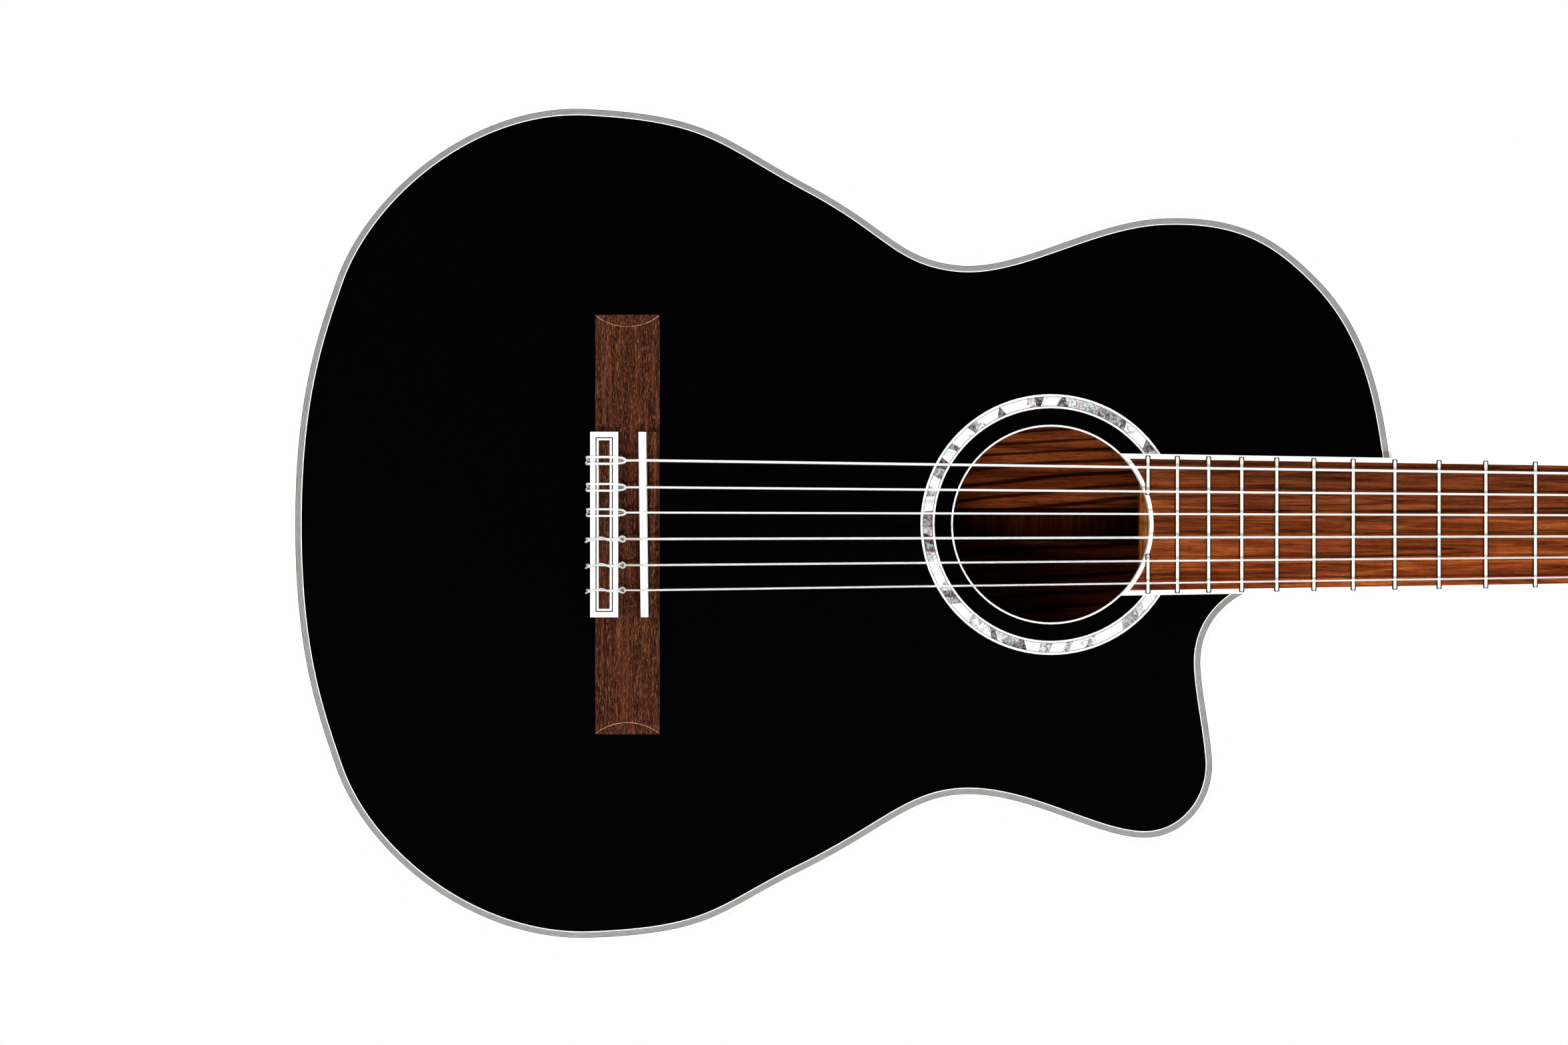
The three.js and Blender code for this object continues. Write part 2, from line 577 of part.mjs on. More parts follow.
function buildStrings() {
  for (const n of stringNumbers) {
    const radius = STRING_RADII[n - 1];
    const saddleX = stringX(n, 1);
    const nutX = stringX(n, 0);
    const lift = radius + GAP;
    const end = vec3(rollerStringX(n), ROLLER_Y - ROLLER_R - lift, TUNER_Z[rollerOf(n)] - 1.5);
    const saddleZ = TROUGH_Z[1] + SADDLE_T / 2;
    const points = [
      vec3(saddleX, -TIE_HOLE_H, BLOCK_Z[0] - 1),
      vec3(saddleX, -TIE_HOLE_H, TROUGH_Z[0] + 1),
      vec3(saddleX, -SADDLE_H[1] + 0.5 - lift, saddleZ - 1.6),
      vec3(saddleX, -SADDLE_H[1] - lift, saddleZ),
      vec3(nutX, -NUT_H - lift, 1),
      vec3(nutX, -NUT_H - lift + 0.3, NUT_L - 1),
      end.applyMatrix4(head.matrixWorld),
    ];
    addSolid("string_" + n, wire(points, radius), n <= 3 ? "nylon" : "wound");
  }
}

// ---- Tuning machines ----
const PLATE_X = [HEAD_HALF + GAP, HEAD_HALF + GAP + TUNER_PLATE_T];
const TUNER_PLATE_Z = [TUNER_Z[0] - WORM_DROP - 12, TUNER_Z[2] + 14];
const LUG_Y = [[2.4, 4.4], [HEAD_T - 4.4, HEAD_T - 2.4]];
const LUG_HALF = 3.2;
const PLATE_HOLE_R = 3.4;
const SHAFT_CLEARANCE = 0.35;

// One side's plate, with a pair of bored lugs for each worm.
function tunerPlate(side) {
  const along = (a, b) => (side > 0 ? [a, b] : [-b, -a]);
  const base = box(along(...PLATE_X), [3, HEAD_T - 3], TUNER_PLATE_Z);
  const holes = [];
  const lugs = [];
  for (const z of TUNER_Z) {
    const gearAxis = (x) => vec3(side * x, ROLLER_Y, z);
    holes.push(rod(PLATE_HOLE_R, gearAxis(PLATE_X[0] - 2), gearAxis(PLATE_X[1] + 2), 12));
    const wormZ = z - WORM_DROP;
    const wormAxis = (y) => vec3(side * WORM_X, y, wormZ);
    for (const [y0, y1] of LUG_Y) {
      const lug = box(along(PLATE_X[1] - 0.5, WORM_X + 3), [y0, y1], [wormZ - LUG_HALF, wormZ + LUG_HALF]);
      lugs.push(cut(lug, rod(SHAFT_R + SHAFT_CLEARANCE, wormAxis(y0 - 1), wormAxis(y1 + 1), 8)));
    }
  }
  return union(cut(base, ...holes), ...lugs);
}

// A tooth's root, tip and root again, as a share of one pitch and a radius.
const TOOTH = [[-0.32, GEAR_ROOT_R], [-0.15, GEAR_TIP_R], [0.15, GEAR_TIP_R], [0.32, GEAR_ROOT_R]];

// The roller lies along +X from the headstock's middle to the gear, with the gear on its outer end.
function rollerSolid() {
  const profile = [
    [0, ROLLER_END_X[0]], [ROLLER_R, ROLLER_END_X[0]], [ROLLER_R, ROLLER_END_X[1]],
    [3, ROLLER_END_X[1]], [3, GEAR_X[0] + 1], [0, GEAR_X[0] + 1],
  ];
  const barrel = toSolid(turned(profile, 12).rotateZ(-Math.PI / 2));
  const points = [];
  for (let tooth = 0; tooth < GEAR_TEETH; tooth++) {
    const pitch = (2 * Math.PI) / GEAR_TEETH;
    for (const [share, radius] of TOOTH) {
      const angle = pitch * (tooth + share);
      points.push(vec2(radius * Math.cos(angle), radius * Math.sin(angle)));
    }
  }
  return union(barrel, bar(new THREE.Shape(points), ...GEAR_X));
}

function buildTuners() {
  addSolid("tuner_plate_bass", tunerPlate(-1), "brass", head);
  addSolid("tuner_plate_treble", tunerPlate(1), "brass", head);
  const shaft = turned([
    [0, 1.6], [SHAFT_R, 1.6], [SHAFT_R, 4.8], [WORM_CORE_R, 4.8], [WORM_CORE_R, HEAD_T - 4.8],
    [SHAFT_R, HEAD_T - 4.8], [SHAFT_R, BUTTON_Y[0] - GAP], [0, BUTTON_Y[0] - GAP],
  ], 10);
  const [low, high] = BUTTON_Y;
  const button = turned([
    [0, low], [3, low], [3.4, low + 2.5], [6.6, low + 6], [7.6, low + 10], [7, low + 14.5],
    [4.6, high - 1], [0, high],
  ], 12).scale(0.56, 1, 1);
  const [worm, knob, roller] = [toSolid(shaft), toSolid(button), rollerSolid()].map(toGeometry);
  for (const n of stringNumbers) {
    const side = n <= 3 ? 1 : -1;
    const z = TUNER_Z[rollerOf(n)];
    const machine = new THREE.Group();
    machine.position.set(0, 0, z);
    head.add(machine);
    const drive = new THREE.Group();
    drive.position.set(side * WORM_X, 0, -WORM_DROP);
    machine.add(drive);
    addNode("tuner_worm_" + n, worm, "nickel", drive);
    addNode("tuner_button_" + n, knob, "pearl", drive);
    const barrel = addNode("string_roller_" + n, roller, "bone", machine);
    barrel.position.y = ROLLER_Y;
    barrel.rotation.z = side > 0 ? 0 : Math.PI;
  }
}

buildSoundboard();
buildShell();
buildBlocks();
buildBraces();
buildNeck();
buildFingerboard();
buildBridge();
buildStrings();
buildTuners();

export default guitar;
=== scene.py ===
"""The looks of a nylon-string guitar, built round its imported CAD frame. Lengths are millimetres until they
reach a mesh. The axes are the frame's: +Z up the neck, -Y out of the soundboard, +X to the treble side."""
import bmesh
import bpy
import math
import random
from mathutils import Matrix, Vector


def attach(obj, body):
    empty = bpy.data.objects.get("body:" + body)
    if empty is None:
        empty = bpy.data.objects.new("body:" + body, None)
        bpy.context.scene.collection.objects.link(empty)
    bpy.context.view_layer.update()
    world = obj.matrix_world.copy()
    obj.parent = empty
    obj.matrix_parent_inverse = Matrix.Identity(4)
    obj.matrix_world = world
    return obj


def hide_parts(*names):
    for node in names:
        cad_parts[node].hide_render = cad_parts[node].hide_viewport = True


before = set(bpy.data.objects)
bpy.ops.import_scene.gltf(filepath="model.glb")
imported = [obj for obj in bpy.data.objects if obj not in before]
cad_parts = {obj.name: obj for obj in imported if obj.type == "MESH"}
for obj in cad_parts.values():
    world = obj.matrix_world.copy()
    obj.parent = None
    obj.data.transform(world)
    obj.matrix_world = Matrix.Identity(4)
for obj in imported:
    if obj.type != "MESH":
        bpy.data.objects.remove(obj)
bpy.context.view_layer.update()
MM = 0.001

# ---- Sizes that the CAD source shares ----
SCALE_LENGTH = 650
BODY_END_Z = -SCALE_LENGTH / 2
BODY_LENGTH = 483.5
TAIL_Z = BODY_END_Z - BODY_LENGTH
DEPTH_AT_TAIL, DEPTH_AT_NECK = 97, 91
PLATE_T = 2.6
RIB_T = 2.2
BINDING_H = 6
HOLE_Z = -475.3
NUT_W, NUT_L, NUT_H = 48, 5, 8.1
BOARD_T = 6.5
BOARD_TAPER = 13.9 / 433.1
NECK_DEPTH = (16, 19)
HEEL_W, HEEL_L = (48, 26), (44, 27)
HEEL_DEPTH = 88.7
TAIL_INLAY_W = 7.4
BRIDGE_W, BRIDGE_Z, WING_L, WING_H = 184, -661.5, 28.2, 4.2
BLOCK_W, BLOCK_Z, TROUGH_Z = 81.2, (-677.2, -646.9), (-664.9, -655.9)
BLOCK_H, TROUGH_H, PLATE_TOP = 8.6, 4, 9.8
SADDLE_T, SADDLE_H = 3.5, (3.4, 12.2)
TIE_HOLE_H, TIE_HOLE_R = 5.8, 1.5
STRING_RADII = (0.42, 0.47, 0.55, 0.45, 0.5, 0.57)
STRING_SPREAD = (39, 57.3)
STRING_SLIP = (0.1, 0.6, 0.6, 0.5, 0.9, 0.6)
HEAD_TILT = math.radians(15)
HEAD_T, HEAD_L, HEAD_HALF, HEAD_SHOULDER_Z = 18, 196, 36, 20
SLOT_X, SLOT_Z = (9.2, 25.4), (18, 138)
ROLLER_STRING_X = (20.5, 18.5, 17)
TUNER_Z = (50, 85, 120)
ROLLER_R, ROLLER_Y = 4.9, HEAD_T / 2
GEAR_TEETH, GEAR_TIP_R, GEAR_ROOT_R, GEAR_X = 14, 6.3, 5, (39, 42)
WORM_X, WORM_DROP, WORM_CORE_R, WORM_TIP_R, SHAFT_R = 41, 8.7, 2, 3.2, 1.7
PLATE_X = (HEAD_HALF + 0.3, HEAD_HALF + 1.5)
BUTTON_Y = (24, 42)
STRINGS = (1, 2, 3, 4, 5, 6)

# ---- Sizes that only the looks use ----
FRET_TOP = 7.85  # height of a fret's crown above the soundboard
FRET_HALF = 1.2
FRET_COUNT = 19
FRET_INSET = 0.7  # a fret stops this far short of the board's edge
LAST_FRET_GAP = 12.9  # half the width that the soundhole takes out of the last fret
WINDING_PITCH = 0.3
WAVE_PERIOD = 0.31416  # a wave texture's period at scale 1
SADDLE_CROWN_Z = TROUGH_Z[1] + 2.1
COIL_TURNS = 3.25
PLATE_HOLE_R = 3.4
LUG_R = 3.2
ON_AXIS = 0.001  # a lathe profile starts and ends this close to its axis

random.seed(19)


def lerp(a, b, t):
    return a + (b - a) * t


# ---- Materials ----
class Look:
    """A principled material whose node tree grows by short calls."""

    def __init__(self, name, colour, roughness, **sockets):
        self.mat = bpy.data.materials.new(name)
        self.mat.use_nodes = True
        self.tree = self.mat.node_tree
        self.bsdf = self.tree.nodes["Principled BSDF"]
        self.bsdf.inputs["Base Color"].default_value = (*colour, 1)
        self.bsdf.inputs["Roughness"].default_value = roughness
        for key, value in sockets.items():
            self.bsdf.inputs[key.replace("_", " ")].default_value = value
        self.coords = self.tree.nodes.new("ShaderNodeTexCoord").outputs["Object"]

    def feed(self, socket, value):
        if isinstance(value, bpy.types.NodeSocket):
            self.tree.links.new(value, socket)
        else:
            socket.default_value = value

    def add(self, kind, settings=(), out=0, **inputs):
        node = self.tree.nodes.new("ShaderNode" + kind)
        for key, value in dict(settings).items():
            setattr(node, key, value)
        for key, value in inputs.items():
            self.feed(node.inputs[key.replace("_", " ")], value)
        return node.outputs[out]

    def math(self, operation, a, b=0.0):
        node = self.tree.nodes.new("ShaderNodeMath")
        node.operation = operation
        self.feed(node.inputs[0], a)
        self.feed(node.inputs[1], b)
        return node.outputs[0]

    def scaled(self, x, y, z):
        """Object coordinates in millimetres, each axis then multiplied."""
        scale = (x / MM, y / MM, z / MM)
        return self.add("Mapping", Vector=self.coords, Scale=scale)

    def noise(self, vector, scale, detail=4.0, rough=0.55, distortion=0.0):
        return self.add("TexNoise", Vector=vector, Scale=scale, Detail=detail, Roughness=rough,
                        Distortion=distortion)

    def ramp(self, value, *stops):
        """A colour ramp from (position, colour) stops; a plain number is a grey."""
        node = self.tree.nodes.new("ShaderNodeValToRGB")
        self.feed(node.inputs[0], value)
        elements = node.color_ramp.elements
        while len(elements) < len(stops):
            elements.new(0.5)
        for element, (position, colour) in zip(elements, stops):
            grey = isinstance(colour, (int, float))
            element.position = position
            element.color = (colour, colour, colour, 1) if grey else (*colour, 1)
        return node.outputs[0]

    def mix(self, share, a, b, blend="MIX"):
        node = self.tree.nodes.new("ShaderNodeMix")
        node.data_type = "RGBA"
        node.blend_type = blend
        for socket, value in zip((node.inputs[0], node.inputs[6], node.inputs[7]), (share, a, b)):
            if isinstance(value, tuple) and len(value) == 3:
                value = (*value, 1)
            self.feed(socket, value)
        return node.outputs[2]

    def colour(self, value):
        self.feed(self.bsdf.inputs["Base Color"], value)

    def roughness(self, value, low, high):
        made = self.add("MapRange", Value=value, To_Min=low, To_Max=high)
        self.feed(self.bsdf.inputs["Roughness"], made)

    def bump(self, height, distance, strength=1.0):
        """distance is the relief's depth in millimetres."""
        made = self.add("Bump", Height=height, Distance=distance * MM, Strength=strength)
        self.feed(self.bsdf.inputs["Normal"], made)


AXES = {"x": (1, 0, 0), "z": (0, 0, 1)}


def wood(name, tones, grain, figure=3.0, pores=0.5, roughness=(0.45, 0.65), specks=None, lines=0.0,
         gloss=0.04, **sockets):
    """Open-grained wood whose fibres run along an axis: a broad figure in three tones, fine fibres and short
    dark pores. figure is the width of its bands in millimetres. specks is a colour for short bright flecks,
    lines is the strength of dark growth lines that wander across the fibres, and gloss is the strength of
    the surface's reflections."""
    look = Look(name, tones[1], roughness[0], **sockets)
    look.bsdf.inputs["Specular IOR Level"].default_value = gloss

    def stretched(ratio):
        return look.scaled(*(1 / ratio if axis else 1.0 for axis in AXES[grain]))

    broad = look.noise(stretched(22), 1 / figure, 6.0, 0.62, 1.1)
    colour = look.ramp(broad, (0.33, tones[0]), (0.5, tones[1]), (0.66, tones[2]))
    if lines:
        leaning = look.add("Mapping", Vector=stretched(7), Rotation=(0, math.radians(32), 0))
        growth = look.add("TexWave", {"bands_direction": "X"}, Vector=leaning, Scale=0.06,
                          Distortion=11.0, Detail=3.0, Detail_Scale=0.3, Detail_Roughness=0.6)
        dark = look.ramp(growth, (0.05, 1.0 - lines), (0.28, 1.0))
        colour = look.mix(1.0, colour, dark, "MULTIPLY")
    fibre = look.noise(stretched(24), 1.7, 4.0, 0.62)
    colour = look.mix(0.85, colour, look.ramp(fibre, (0.34, 0.45), (0.5, 1.0), (0.68, 1.4)), "MULTIPLY")
    pore = look.noise(stretched(7), 1.9, 2.0, 0.5)
    pitted = look.ramp(pore, (0.37, 0.0), (0.45, 1.0))
    colour = look.mix(1.0, colour, look.mix(pores, (1.0, 1.0, 1.0), pitted), "MULTIPLY")
    if specks:
        fleck = look.noise(stretched(6), 2.6, 4.0, 0.65, 0.3)
        colour = look.mix(look.ramp(fleck, (0.52, 0.0), (0.72, 0.9)), colour, specks)
    look.colour(colour)
    look.roughness(fibre, *roughness)
    look.bump(pitted, 0.06, 0.6)
    return look


def lacquer():
    """Deep black gloss with the faint long-wave ripple of a sprayed and buffed finish."""
    look = Look("black_lacquer", (0.0004, 0.0004, 0.0004), 0.09, Coat_Weight=0.6, Coat_Roughness=0.03)
    look.bsdf.inputs["Specular IOR Level"].default_value = 0.4
    ripple = look.noise(look.scaled(1, 1, 1), 0.055, 2.0)
    haze = look.noise(look.scaled(1, 1, 1), 0.4, 6.0)
    look.roughness(haze, 0.05, 0.13)
    look.bump(ripple, 0.05, 0.35)
    return look.mat


def plastic(name, colour, roughness=0.3, mottle=0.05, **sockets):
    """Smooth plastic or bone with a faint cloudiness and fine lengthwise lines."""
    look = Look(name, colour, roughness, **sockets)
    cloud = look.noise(look.scaled(1, 1, 1), 0.22, 5.0)
    shade = look.ramp(cloud, (0.3, 1.0 - 2 * mottle), (0.7, 1.0))
    look.colour(look.mix(1.0, colour, shade, "MULTIPLY"))
    grain = look.noise(look.scaled(1, 1, 0.2), 3.0, 3.0)
    look.roughness(grain, roughness * 0.8, roughness * 1.25)
    look.bump(grain, 0.01, 0.3)
    return look.mat


def metal(name, colour, roughness, brushed=(1, 1, 1), wear=0.5):
    """Metal with fine brushing, and dulled in patches."""
    look = Look(name, colour, roughness, Metallic=1.0)
    lines = look.noise(look.scaled(*brushed), 4.0, 3.0)
    patches = look.noise(look.scaled(1, 1, 1), 0.25, 5.0)
    shade = look.ramp(patches, (0.35, 1.0 - 0.25 * wear), (0.65, 1.0))
    look.colour(look.mix(1.0, colour, shade, "MULTIPLY"))
    look.roughness(patches, roughness * 0.7, roughness * 1.5)
    look.bump(lines, 0.008, 0.4)
    return look.mat


def pearl(name, per_block):
    """Mother of pearl: cloudy silver with sharp folds. A block's own tone is added where it has one."""
    look = Look(name, (0.8, 0.8, 0.82), 0.16, Coat_Weight=0.8, Coat_Roughness=0.04)
    folds = look.noise(look.scaled(1, 1, 1), 0.5, 5.0, 0.62, 1.6)
    value = look.math("MULTIPLY", look.math("SUBTRACT", folds, 0.5), 1.3)
    tone = look.add("Attribute", {"attribute_name": "tone"}, out=2) if per_block else 0.78
    value = look.math("ADD", value, tone)
    silver = look.ramp(
        value, (0.08, (0.012, 0.01, 0.01)), (0.3, (0.1, 0.085, 0.08)), (0.5, (0.36, 0.34, 0.35)),
        (0.72, (0.86, 0.88, 0.9)), (0.95, (1.0, 1.0, 1.0)),
    )
    tint = look.noise(look.scaled(1, 1, 1), 0.3, 2.0)
    blush = look.ramp(tint, (0.38, (0.8, 1.0, 0.95)), (0.5, (1.0, 1.0, 1.0)), (0.62, (1.0, 0.86, 0.92)))
    look.colour(look.mix(1.0, silver, blush, "MULTIPLY"))
    look.bump(folds, 0.02, 0.2)
    return look.mat


def nylon():
    """Clear drawn nylon, which lets a good part of the light through."""
    look = Look("clear_nylon", (0.97, 0.97, 0.96), 0.2, Coat_Weight=0.5, Coat_Roughness=0.05)
    look.bsdf.inputs["Transmission Weight"].default_value = 0.5
    look.bsdf.inputs["IOR"].default_value = 1.53
    drawn = look.noise(look.scaled(1, 1, 0.004), 0.8, 1.0)
    look.colour(look.ramp(drawn, (0.3, (0.9, 0.9, 0.88)), (0.6, (0.99, 0.99, 0.97))))
    look.roughness(drawn, 0.14, 0.26)
    return look.mat


def winding():
    """Fine silver wire wound round a string that runs up the neck."""
    look = Look("silver_winding", (0.95, 0.95, 0.96), 0.34, Metallic=0.3)
    turns = look.add("Mapping", Vector=look.coords, Scale=(0, 0, 1 / (WINDING_PITCH * MM)))
    wave = look.add("TexWave", {"bands_direction": "Z"}, Vector=turns, Scale=WAVE_PERIOD, Distortion=0.0)
    tarnish = look.noise(look.scaled(1, 1, 0.05), 0.4, 3.0)
    # Painted shade: the wave's troughs, the gaps between the turns, are coloured darker.
    grooves = look.ramp(wave, (0.0, 0.78), (0.5, 1.0))
    look.colour(look.mix(1.0, grooves, look.ramp(tarnish, (0.3, 0.88), (0.6, 1.0)), "MULTIPLY"))
    look.roughness(wave, 0.5, 0.3)
    look.bump(wave, 0.03)
    return look.mat


def fret_metal():
    """Nickel silver that is worn bright along its crown; down its sides its colour is painted near black by
    height, a painted shade.
    """
    look = Look("fret_nickel", (0.8, 0.73, 0.64), 0.42, Metallic=0.2)
    height = look.add("SeparateXYZ", Vector=look.coords, out=1)
    wear_and_painted_light = look.add("MapRange", Value=height, From_Min=-(FRET_TOP - 0.06) * MM,
                    From_Max=-(FRET_TOP - 0.3) * MM)
    # Painted shade: below the crown the colour runs to near black, standing in for the shade down the fret's
    # sides.
    look.colour(look.ramp(wear_and_painted_light, (0.1, (0.86, 0.79, 0.69)), (0.6, (0.006, 0.0015, 0.001))))
    scratch = look.noise(look.scaled(0.2, 1, 6), 2.0, 3.0)
    look.roughness(scratch, 0.36, 0.5)
    look.bump(scratch, 0.006, 0.3)
    return look.mat


def board_wood():
    """Oiled rosewood, darker towards the bass side of the board."""
    tones = ((0.03, 0.005, 0.001), (0.19, 0.035, 0.006), (0.34, 0.082, 0.016))
    look = wood("board_rosewood", tones, "z", 3.4, 0.3)
    place = look.add("SeparateXYZ", Vector=look.coords)
    side = look.add("MapRange", Value=place, From_Min=-28 * MM, From_Max=24 * MM)
    shade = look.ramp(side, (0.0, (0.5, 0.55, 0.72)), (0.45, (0.72, 0.74, 0.84)), (1.0, (1.0, 1.0, 1.0)))
    made = look.bsdf.inputs["Base Color"].links[0].from_socket
    look.colour(look.mix(1.0, made, shade, "MULTIPLY"))
    return look.mat


def woods():
    bridge = ((0.01, 0.0015, 0.0004), (0.036, 0.009, 0.004), (0.095, 0.027, 0.014))
    # Pale tones for the facets' edges: partly wear, partly a painted highlight.
    wear_and_painted_light = ((0.3, 0.14, 0.08), (0.5, 0.28, 0.18), (0.7, 0.46, 0.32))
    back = ((0.04, 0.007, 0.001), (0.18, 0.036, 0.009), (0.33, 0.078, 0.02))
    strip = ((0.012, 0.002, 0.0006), (0.028, 0.005, 0.0015), (0.05, 0.01, 0.003))
    mahogany = ((0.11, 0.036, 0.015), (0.2, 0.072, 0.03), (0.29, 0.12, 0.052))
    bare = ((0.11, 0.028, 0.004), (0.2, 0.058, 0.011), (0.3, 0.1, 0.024))
    spruce = ((0.5, 0.32, 0.16), (0.68, 0.5, 0.29), (0.8, 0.64, 0.42))
    lining = ((0.3, 0.15, 0.07), (0.46, 0.26, 0.13), (0.58, 0.35, 0.19))
    return {
        "board_wood": board_wood(),
        "bridge_wood": wood("bridge_rosewood", bridge, "x", 2.6, 0.6, specks=(0.3, 0.1, 0.04)).mat,
        "wear_and_highlight_edge": wood("wear_and_highlight_rosewood", wear_and_painted_light, "x").mat,
        "back_wood": wood("back_rosewood", back, "z", 7.0, 0.35, lines=0.85, gloss=0.0).mat,
        "strip_wood": wood("strip_rosewood", strip, "x", 5.0, 0.3, gloss=0.0).mat,
        "mahogany": wood("neck_mahogany", mahogany, "z", 8.0, 0.4, (0.3, 0.42), gloss=0.35,
                         Coat_Weight=0.25, Coat_Roughness=0.25).mat,
        "bare_mahogany": wood("bare_mahogany", bare, "x", 4.0, 0.35, (0.6, 0.8)).mat,
        "spruce": wood("bare_spruce", spruce, "x", 1.6, 0.12, (0.55, 0.75)).mat,
        "lining": wood("lining_wood", lining, "z", 4.0, 0.3, (0.6, 0.8)).mat,
    }


LOOKS = {
    "lacquer": lacquer(),
    "cream": plastic("cream_binding", (0.97, 0.95, 0.9), 0.28, 0.02),
    "white": plastic("white_line", (0.97, 0.97, 0.96), 0.3, 0.02),
    "black": plastic("black_line", (0.003, 0.003, 0.003), 0.5, 0.1, Specular_IOR_Level=0.1),
    "grey": plastic("grey_fibre", (0.125, 0.12, 0.115), 0.45, 0.15),
    "pale": plastic("pale_fibre", (0.4, 0.39, 0.38), 0.45, 0.1),
    "bone": plastic("polished_bone", (0.96, 0.95, 0.93), 0.3, 0.04),
    "roller_white": plastic("roller_plastic", (0.88, 0.87, 0.83), 0.32, 0.04),
    "rosette_pearl": pearl("rosette_pearl", True),
    "button_pearl": pearl("button_pearl", False),
    "fret": fret_metal(),
    "nickel": metal("nickel_silver", (0.82, 0.81, 0.78), 0.2, (0.2, 1, 1)),
    "steel": metal("drawn_steel", (0.5, 0.5, 0.52), 0.35),
    "gold": metal("gold_plate", (0.83, 0.62, 0.28), 0.2, (1, 1, 0.1)),
    "nylon": nylon(),
    "wound": winding(),
    **woods(),
}


# ---- Mesh building ----
def smoothed(mesh, angle=32):
    mesh.polygons.foreach_set("use_smooth", [True] * len(mesh.polygons))
    mesh.set_sharp_from_angle(angle=math.radians(angle))


def placed(name, data):
    """A new object, linked into the scene."""
    obj = bpy.data.objects.new(name, data)
    bpy.context.scene.collection.objects.link(obj)
    return obj


def piece(name, mesh, look, body="root", replaces=()):
    """Makes a visible piece from a finished mesh, riding on a body and standing for CAD nodes."""
    obj = placed(name, mesh)
    mesh.materials.clear()
    mesh.materials.append(LOOKS[look])
    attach(obj, body)
    if replaces:
        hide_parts(*replaces)
    return obj


def tidy_up(mesh, merge):
    """Merges vertices closer than merge metres, and turns the faces outwards."""
    made = bmesh.new()
    made.from_mesh(mesh)
    bmesh.ops.remove_doubles(made, verts=made.verts, dist=merge)
    bmesh.ops.recalc_face_normals(made, faces=made.faces)
    made.to_mesh(mesh)
    made.free()


def mesh_of(points, faces, angle=32):
    """A mesh from millimetre points, its faces turned outwards."""
    mesh = bpy.data.meshes.new("made")
    mesh.from_pydata([tuple(c * MM for c in p) for p in points], [], faces)
    tidy_up(mesh, 0.5e-6)
    smoothed(mesh, angle)
    return mesh


def loft(rings, angle=32):
    """A skin through rings of points, capped at both ends."""
    count = len(rings[0])
    points = [p for ring in rings for p in ring]
    faces = []
    for start in range(0, (len(rings) - 1) * count, count):
        for i in range(count):
            a, b = start + i, start + (i + 1) % count
            faces.append((a, b, b + count, a + count))
    faces.append(tuple(range(count))[::-1])
    faces.append(tuple(range((len(rings) - 1) * count, len(rings) * count)))
    return mesh_of(points, faces, angle)


def joined(*meshes):
    """One mesh out of several, each its own closed shell."""
    made = bmesh.new()
    for mesh in meshes:
        made.from_mesh(mesh)
    result = bpy.data.meshes.new("joined")
    made.to_mesh(result)
    made.free()
    smoothed(result)
    return result


def baked(holder):
    """The mesh that an object comes to; the object itself is removed."""
    bpy.context.view_layer.update()
    mesh = bpy.data.meshes.new_from_object(holder.evaluated_get(bpy.context.evaluated_depsgraph_get()))
    bpy.data.objects.remove(holder)
    return mesh


def curve_mesh(loops, thickness, rounding, basis, origin, bevel_steps=2):
    """A flat piece filled between loops, with rounded edges. basis maps its across, up and out directions."""
    curve = bpy.data.curves.new("outline", "CURVE")
    curve.dimensions = "2D"
    curve.fill_mode = "BOTH"
    for loop in loops:
        spline = curve.splines.new("POLY")
        spline.points.add(len(loop) - 1)
        flat = [c for a, b in loop for c in (a * MM, b * MM, 0.0, 1.0)]
        spline.points.foreach_set("co", flat)
        spline.use_cyclic_u = True
    curve.extrude = (thickness / 2 - rounding) * MM
    curve.bevel_depth = rounding * MM
    curve.bevel_resolution = bevel_steps
    curve.offset = -rounding * MM
    mesh = baked(placed("outline", curve))
    bpy.data.curves.remove(curve)
    turn = Matrix([[*(basis[column][row] for column in range(3)), 0] for row in range(3)] + [[0, 0, 0, 1]])
    mesh.transform(Matrix.Translation(Vector(origin) * MM) @ turn)
    tidy_up(mesh, 1e-6)
    smoothed(mesh)
    keep_flat(mesh, Vector(basis[2]))
    return mesh


def keep_flat(mesh, out):
    """Ends the smooth shading where a piece's flat faces meet its rounded edge."""
    kinds = {}
    for polygon in mesh.polygons:
        is_flat = abs(polygon.normal.dot(out)) > 0.9999
        for loop in polygon.loop_indices:
            kinds.setdefault(mesh.loops[loop].edge_index, set()).add(is_flat)
    for index, kind in kinds.items():
        if len(kind) == 2:
            mesh.edges[index].use_edge_sharp = True


def slab(loops, y0, y1, rounding=0.0):
    """A plate whose outline lies in XZ."""
    basis = ((1, 0, 0), (0, 0, 1), (0, -1, 0))
    return curve_mesh(loops, y1 - y0, rounding, basis, (0, (y0 + y1) / 2, 0))


def bar(profile, x0, x1, rounding=0.0):
    """A bar along X; its section has Z across and height above the soundboard up."""
    basis = ((0, 0, 1), (0, -1, 0), (1, 0, 0))
    return curve_mesh([profile], x1 - x0, rounding, basis, ((x0 + x1) / 2, 0, 0))


def full_turn(steps):
    return [2 * math.pi * i / steps for i in range(steps)]


def circle(radius, x=0.0, z=0.0, steps=96):
    return [(x + radius * math.cos(a), z + radius * math.sin(a)) for a in full_turn(steps)]


def rectangle(x0, x1, z0, z1):
    return [(x0, z0), (x1, z0), (x1, z1), (x0, z1)]


def across(direction):
    """Two directions square to a unit direction."""
    other = Vector((1, 0, 0)) if abs(direction.x) < 0.8 else Vector((0, 1, 0))
    side = direction.cross(other).normalized()
    return side, direction.cross(side)


def round_ring(centre, side, other, radius, sides):
    """A circle of points about a centre, in the plane of two unit directions."""
    return [centre + side * (radius * math.cos(a)) + other * (radius * math.sin(a)) for a in full_turn(sides)]


